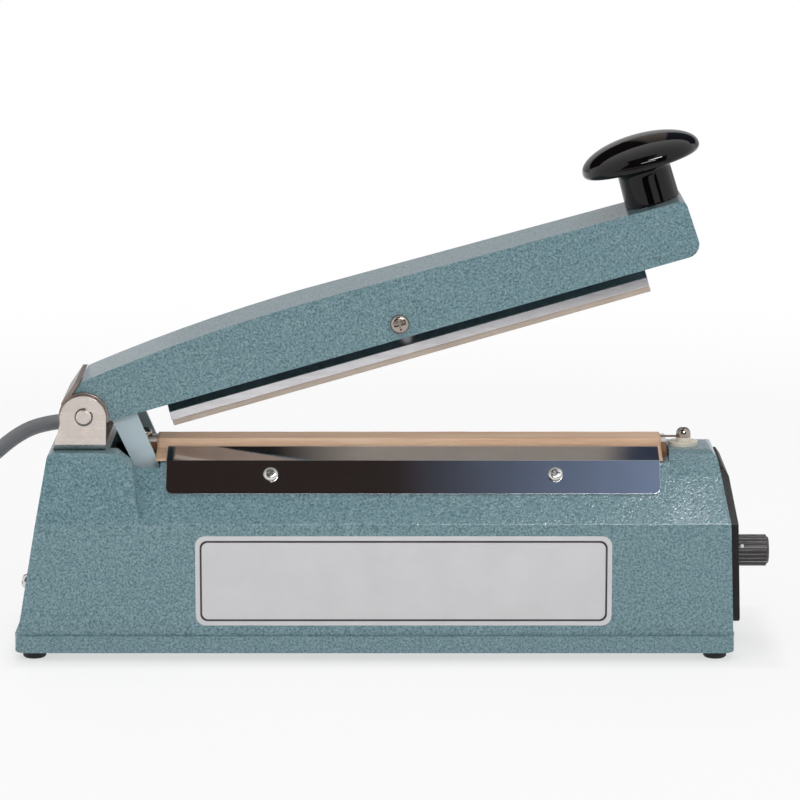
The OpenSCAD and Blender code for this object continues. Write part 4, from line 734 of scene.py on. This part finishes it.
def floor():
    """A white table that keeps the shadow near the part and fades into the background."""
    m = bpy.data.meshes.new("floor")
    s = FLOOR_HALF
    m.from_pydata([(-s, -s, 0), (s, -s, 0), (s, s, 0), (-s, s, 0)], [], [(0, 1, 2, 3)])
    o = bpy.data.objects.new("floor", m)
    scene.collection.objects.link(o)
    p = Paint("floor_white", (250, 250, 250), 0.9)
    p.bsdf.inputs["Specular IOR Level"].default_value = 0.0
    t = p.tree
    length = t.nodes.new("ShaderNodeVectorMath")
    length.operation = "LENGTH"
    t.links.new(p.coords(), length.inputs[0])
    far = p.grey(length.outputs["Value"], *FLOOR_FAR, *FLOOR_FADE)
    far.node.interpolation_type = "SMOOTHSTEP"
    split = t.nodes.new("ShaderNodeSeparateXYZ")
    t.links.new(p.coords(), split.inputs[0])

    past_end = p.grey(p.math("ABSOLUTE", split.outputs[0]), 0.0, 1.0, *FLOOR_ENDS)
    past_side = p.grey(p.math("ABSOLUTE", split.outputs[1]), 0.0, 1.0, *FLOOR_SIDES)
    near = p.grey(p.math("MAXIMUM", past_end, past_side), *FLOOR_NEAR)
    rays = t.nodes.new("ShaderNodeLightPath")
    seen = p.math("MAXIMUM", rays.outputs["Is Camera Ray"], rays.outputs["Is Glossy Ray"])
    both = p.math("MULTIPLY", p.math("MAXIMUM", near, far), seen)
    glow = p.node("ShaderNodeEmission", Strength=1.0)
    join = t.nodes.new("ShaderNodeMixShader")
    t.links.new(both, join.inputs[0])
    t.links.new(p.bsdf.outputs[0], join.inputs[1])
    t.links.new(glow.outputs[0], join.inputs[2])
    t.links.new(join.outputs[0], t.nodes["Material Output"].inputs["Surface"])
    m.materials.append(p.mat)


def world(level):
    """White where it is seen or mirrored, and that level as light."""
    w = bpy.data.worlds.new("studio")
    scene.world = w
    w.use_nodes = True
    t = w.node_tree
    back = t.nodes["Background"]
    rays = t.nodes.new("ShaderNodeLightPath")
    seen = t.nodes.new("ShaderNodeMath")
    seen.operation = "MAXIMUM"
    t.links.new(rays.outputs["Is Camera Ray"], seen.inputs[0])
    t.links.new(rays.outputs["Is Glossy Ray"], seen.inputs[1])
    more = t.nodes.new("ShaderNodeMath")
    more.operation = "MAXIMUM"
    t.links.new(seen.outputs[0], more.inputs[0])
    t.links.new(rays.outputs["Is Transmission Ray"], more.inputs[1])
    strength = t.nodes.new("ShaderNodeMapRange")
    strength.inputs["To Min"].default_value = level
    strength.inputs["To Max"].default_value = 1.0
    t.links.new(more.outputs[0], strength.inputs["Value"])
    back.inputs["Color"].default_value = (1, 1, 1, 1)
    t.links.new(strength.outputs["Result"], back.inputs["Strength"])


def lamp(name, place, aim, size, power, mirrored=False):
    """An area lamp that mirrors see only where asked."""
    d = bpy.data.lights.new(name, "AREA")
    d.shape = "RECTANGLE"
    d.size, d.size_y = size
    d.energy = power
    o = bpy.data.objects.new(name, d)
    o.location = place
    o.rotation_euler = (Vector(aim) - Vector(place)).to_track_quat("-Z", "Y").to_euler()
    o.visible_glossy = mirrored
    scene.collection.objects.link(o)


def card(name, place, aim, size, stops, strength=1.0):
    """A stage card that only mirrors see, its tone running along X."""
    m = bpy.data.meshes.new(name)
    w, h = size[0] / 2, size[1] / 2
    m.from_pydata([(-w, -h, 0), (w, -h, 0), (w, h, 0), (-w, h, 0)], [], [(0, 1, 2, 3)])
    o = bpy.data.objects.new(name, m)
    o.location = place
    o.rotation_euler = (Vector(aim) - Vector(place)).to_track_quat("-Z", "Y").to_euler()
    scene.collection.objects.link(o)
    p = Paint(name)
    split = p.tree.nodes.new("ShaderNodeSeparateXYZ")
    p.tree.links.new(p.tree.nodes.new("ShaderNodeNewGeometry").outputs["Position"], split.inputs[0])
    tone = p.ramp(p.grey(split.outputs[0], 0.0, 1.0, -0.5, 0.5), stops)
    glow = p.node("ShaderNodeEmission", Color=tone, Strength=strength)
    p.tree.links.new(glow.outputs[0], p.tree.nodes["Material Output"].inputs["Surface"])
    m.materials.append(p.mat)
    for ray in ("camera", "diffuse", "shadow", "transmission", "volume_scatter"):
        setattr(o, "visible_" + ray, False)


DARK_ROOM = [(0.0, (44, 42, 43)), (1.0, (30, 28, 28))]
floor()
world(0.42)
lamp("key", (-0.9, -0.9, 1.5), (0, 0, 0.08), (0.9, 0.7), 3.8)
lamp("top", (0.15, 0.25, 1.5), (0, 0, 0.05), (1.4, 0.8), 5)
lamp("fill", (1.1, -1.3, 0.8), (0, 0, 0.08), (0.8, 0.8), 2)
lamp("back", (-0.2, 1.5, 0.9), (0, 0, 0.1), (1.2, 0.6), 3)
lamp("strip", (0.18, -1.25, 0.85), (0, 0, 0.1), (0.7, 0.2), 4.2, True)
card("front_card", (-0.18, -0.5, 1.1), (-0.18, 0, 0.08), (0.8, 0.6),
     [(0.0, (40, 33, 31)), (0.5, (50, 42, 40)), (0.6, (96, 106, 124)), (0.72, (128, 144, 172))])
card("back_card", (0, 1.6, 1.2), (0, 0, 0.45), (4.0, 0.9),
     [(0.38, (30, 28, 28)), (0.46, (148, 139, 130)), (0.7, (150, 141, 132)), (0.73, (54, 61, 76))])
card("horizon_card", (0, 1.7, 0.42), (0, 0, 0.42), (4.0, 0.7), [(0.0, (186, 186, 188)), (1.0, (186, 186, 188))])
card("camera_card", (0, -2.4, 1.75), (0, 0, 1.75), (5.0, 2.9), DARK_ROOM)
card("edge_card", (0.38, -0.95, 1.1), (0.1, 0, 0.06), (0.6, 0.16),
     [(0.55, (120, 120, 120)), (0.85, (255, 255, 255))], 36.0)
card("floor_card", (0, -1.65, 0.01), (0, -1.65, 1.0), (4.0, 1.6), DARK_ROOM)

scene.view_settings.view_transform = "Standard"
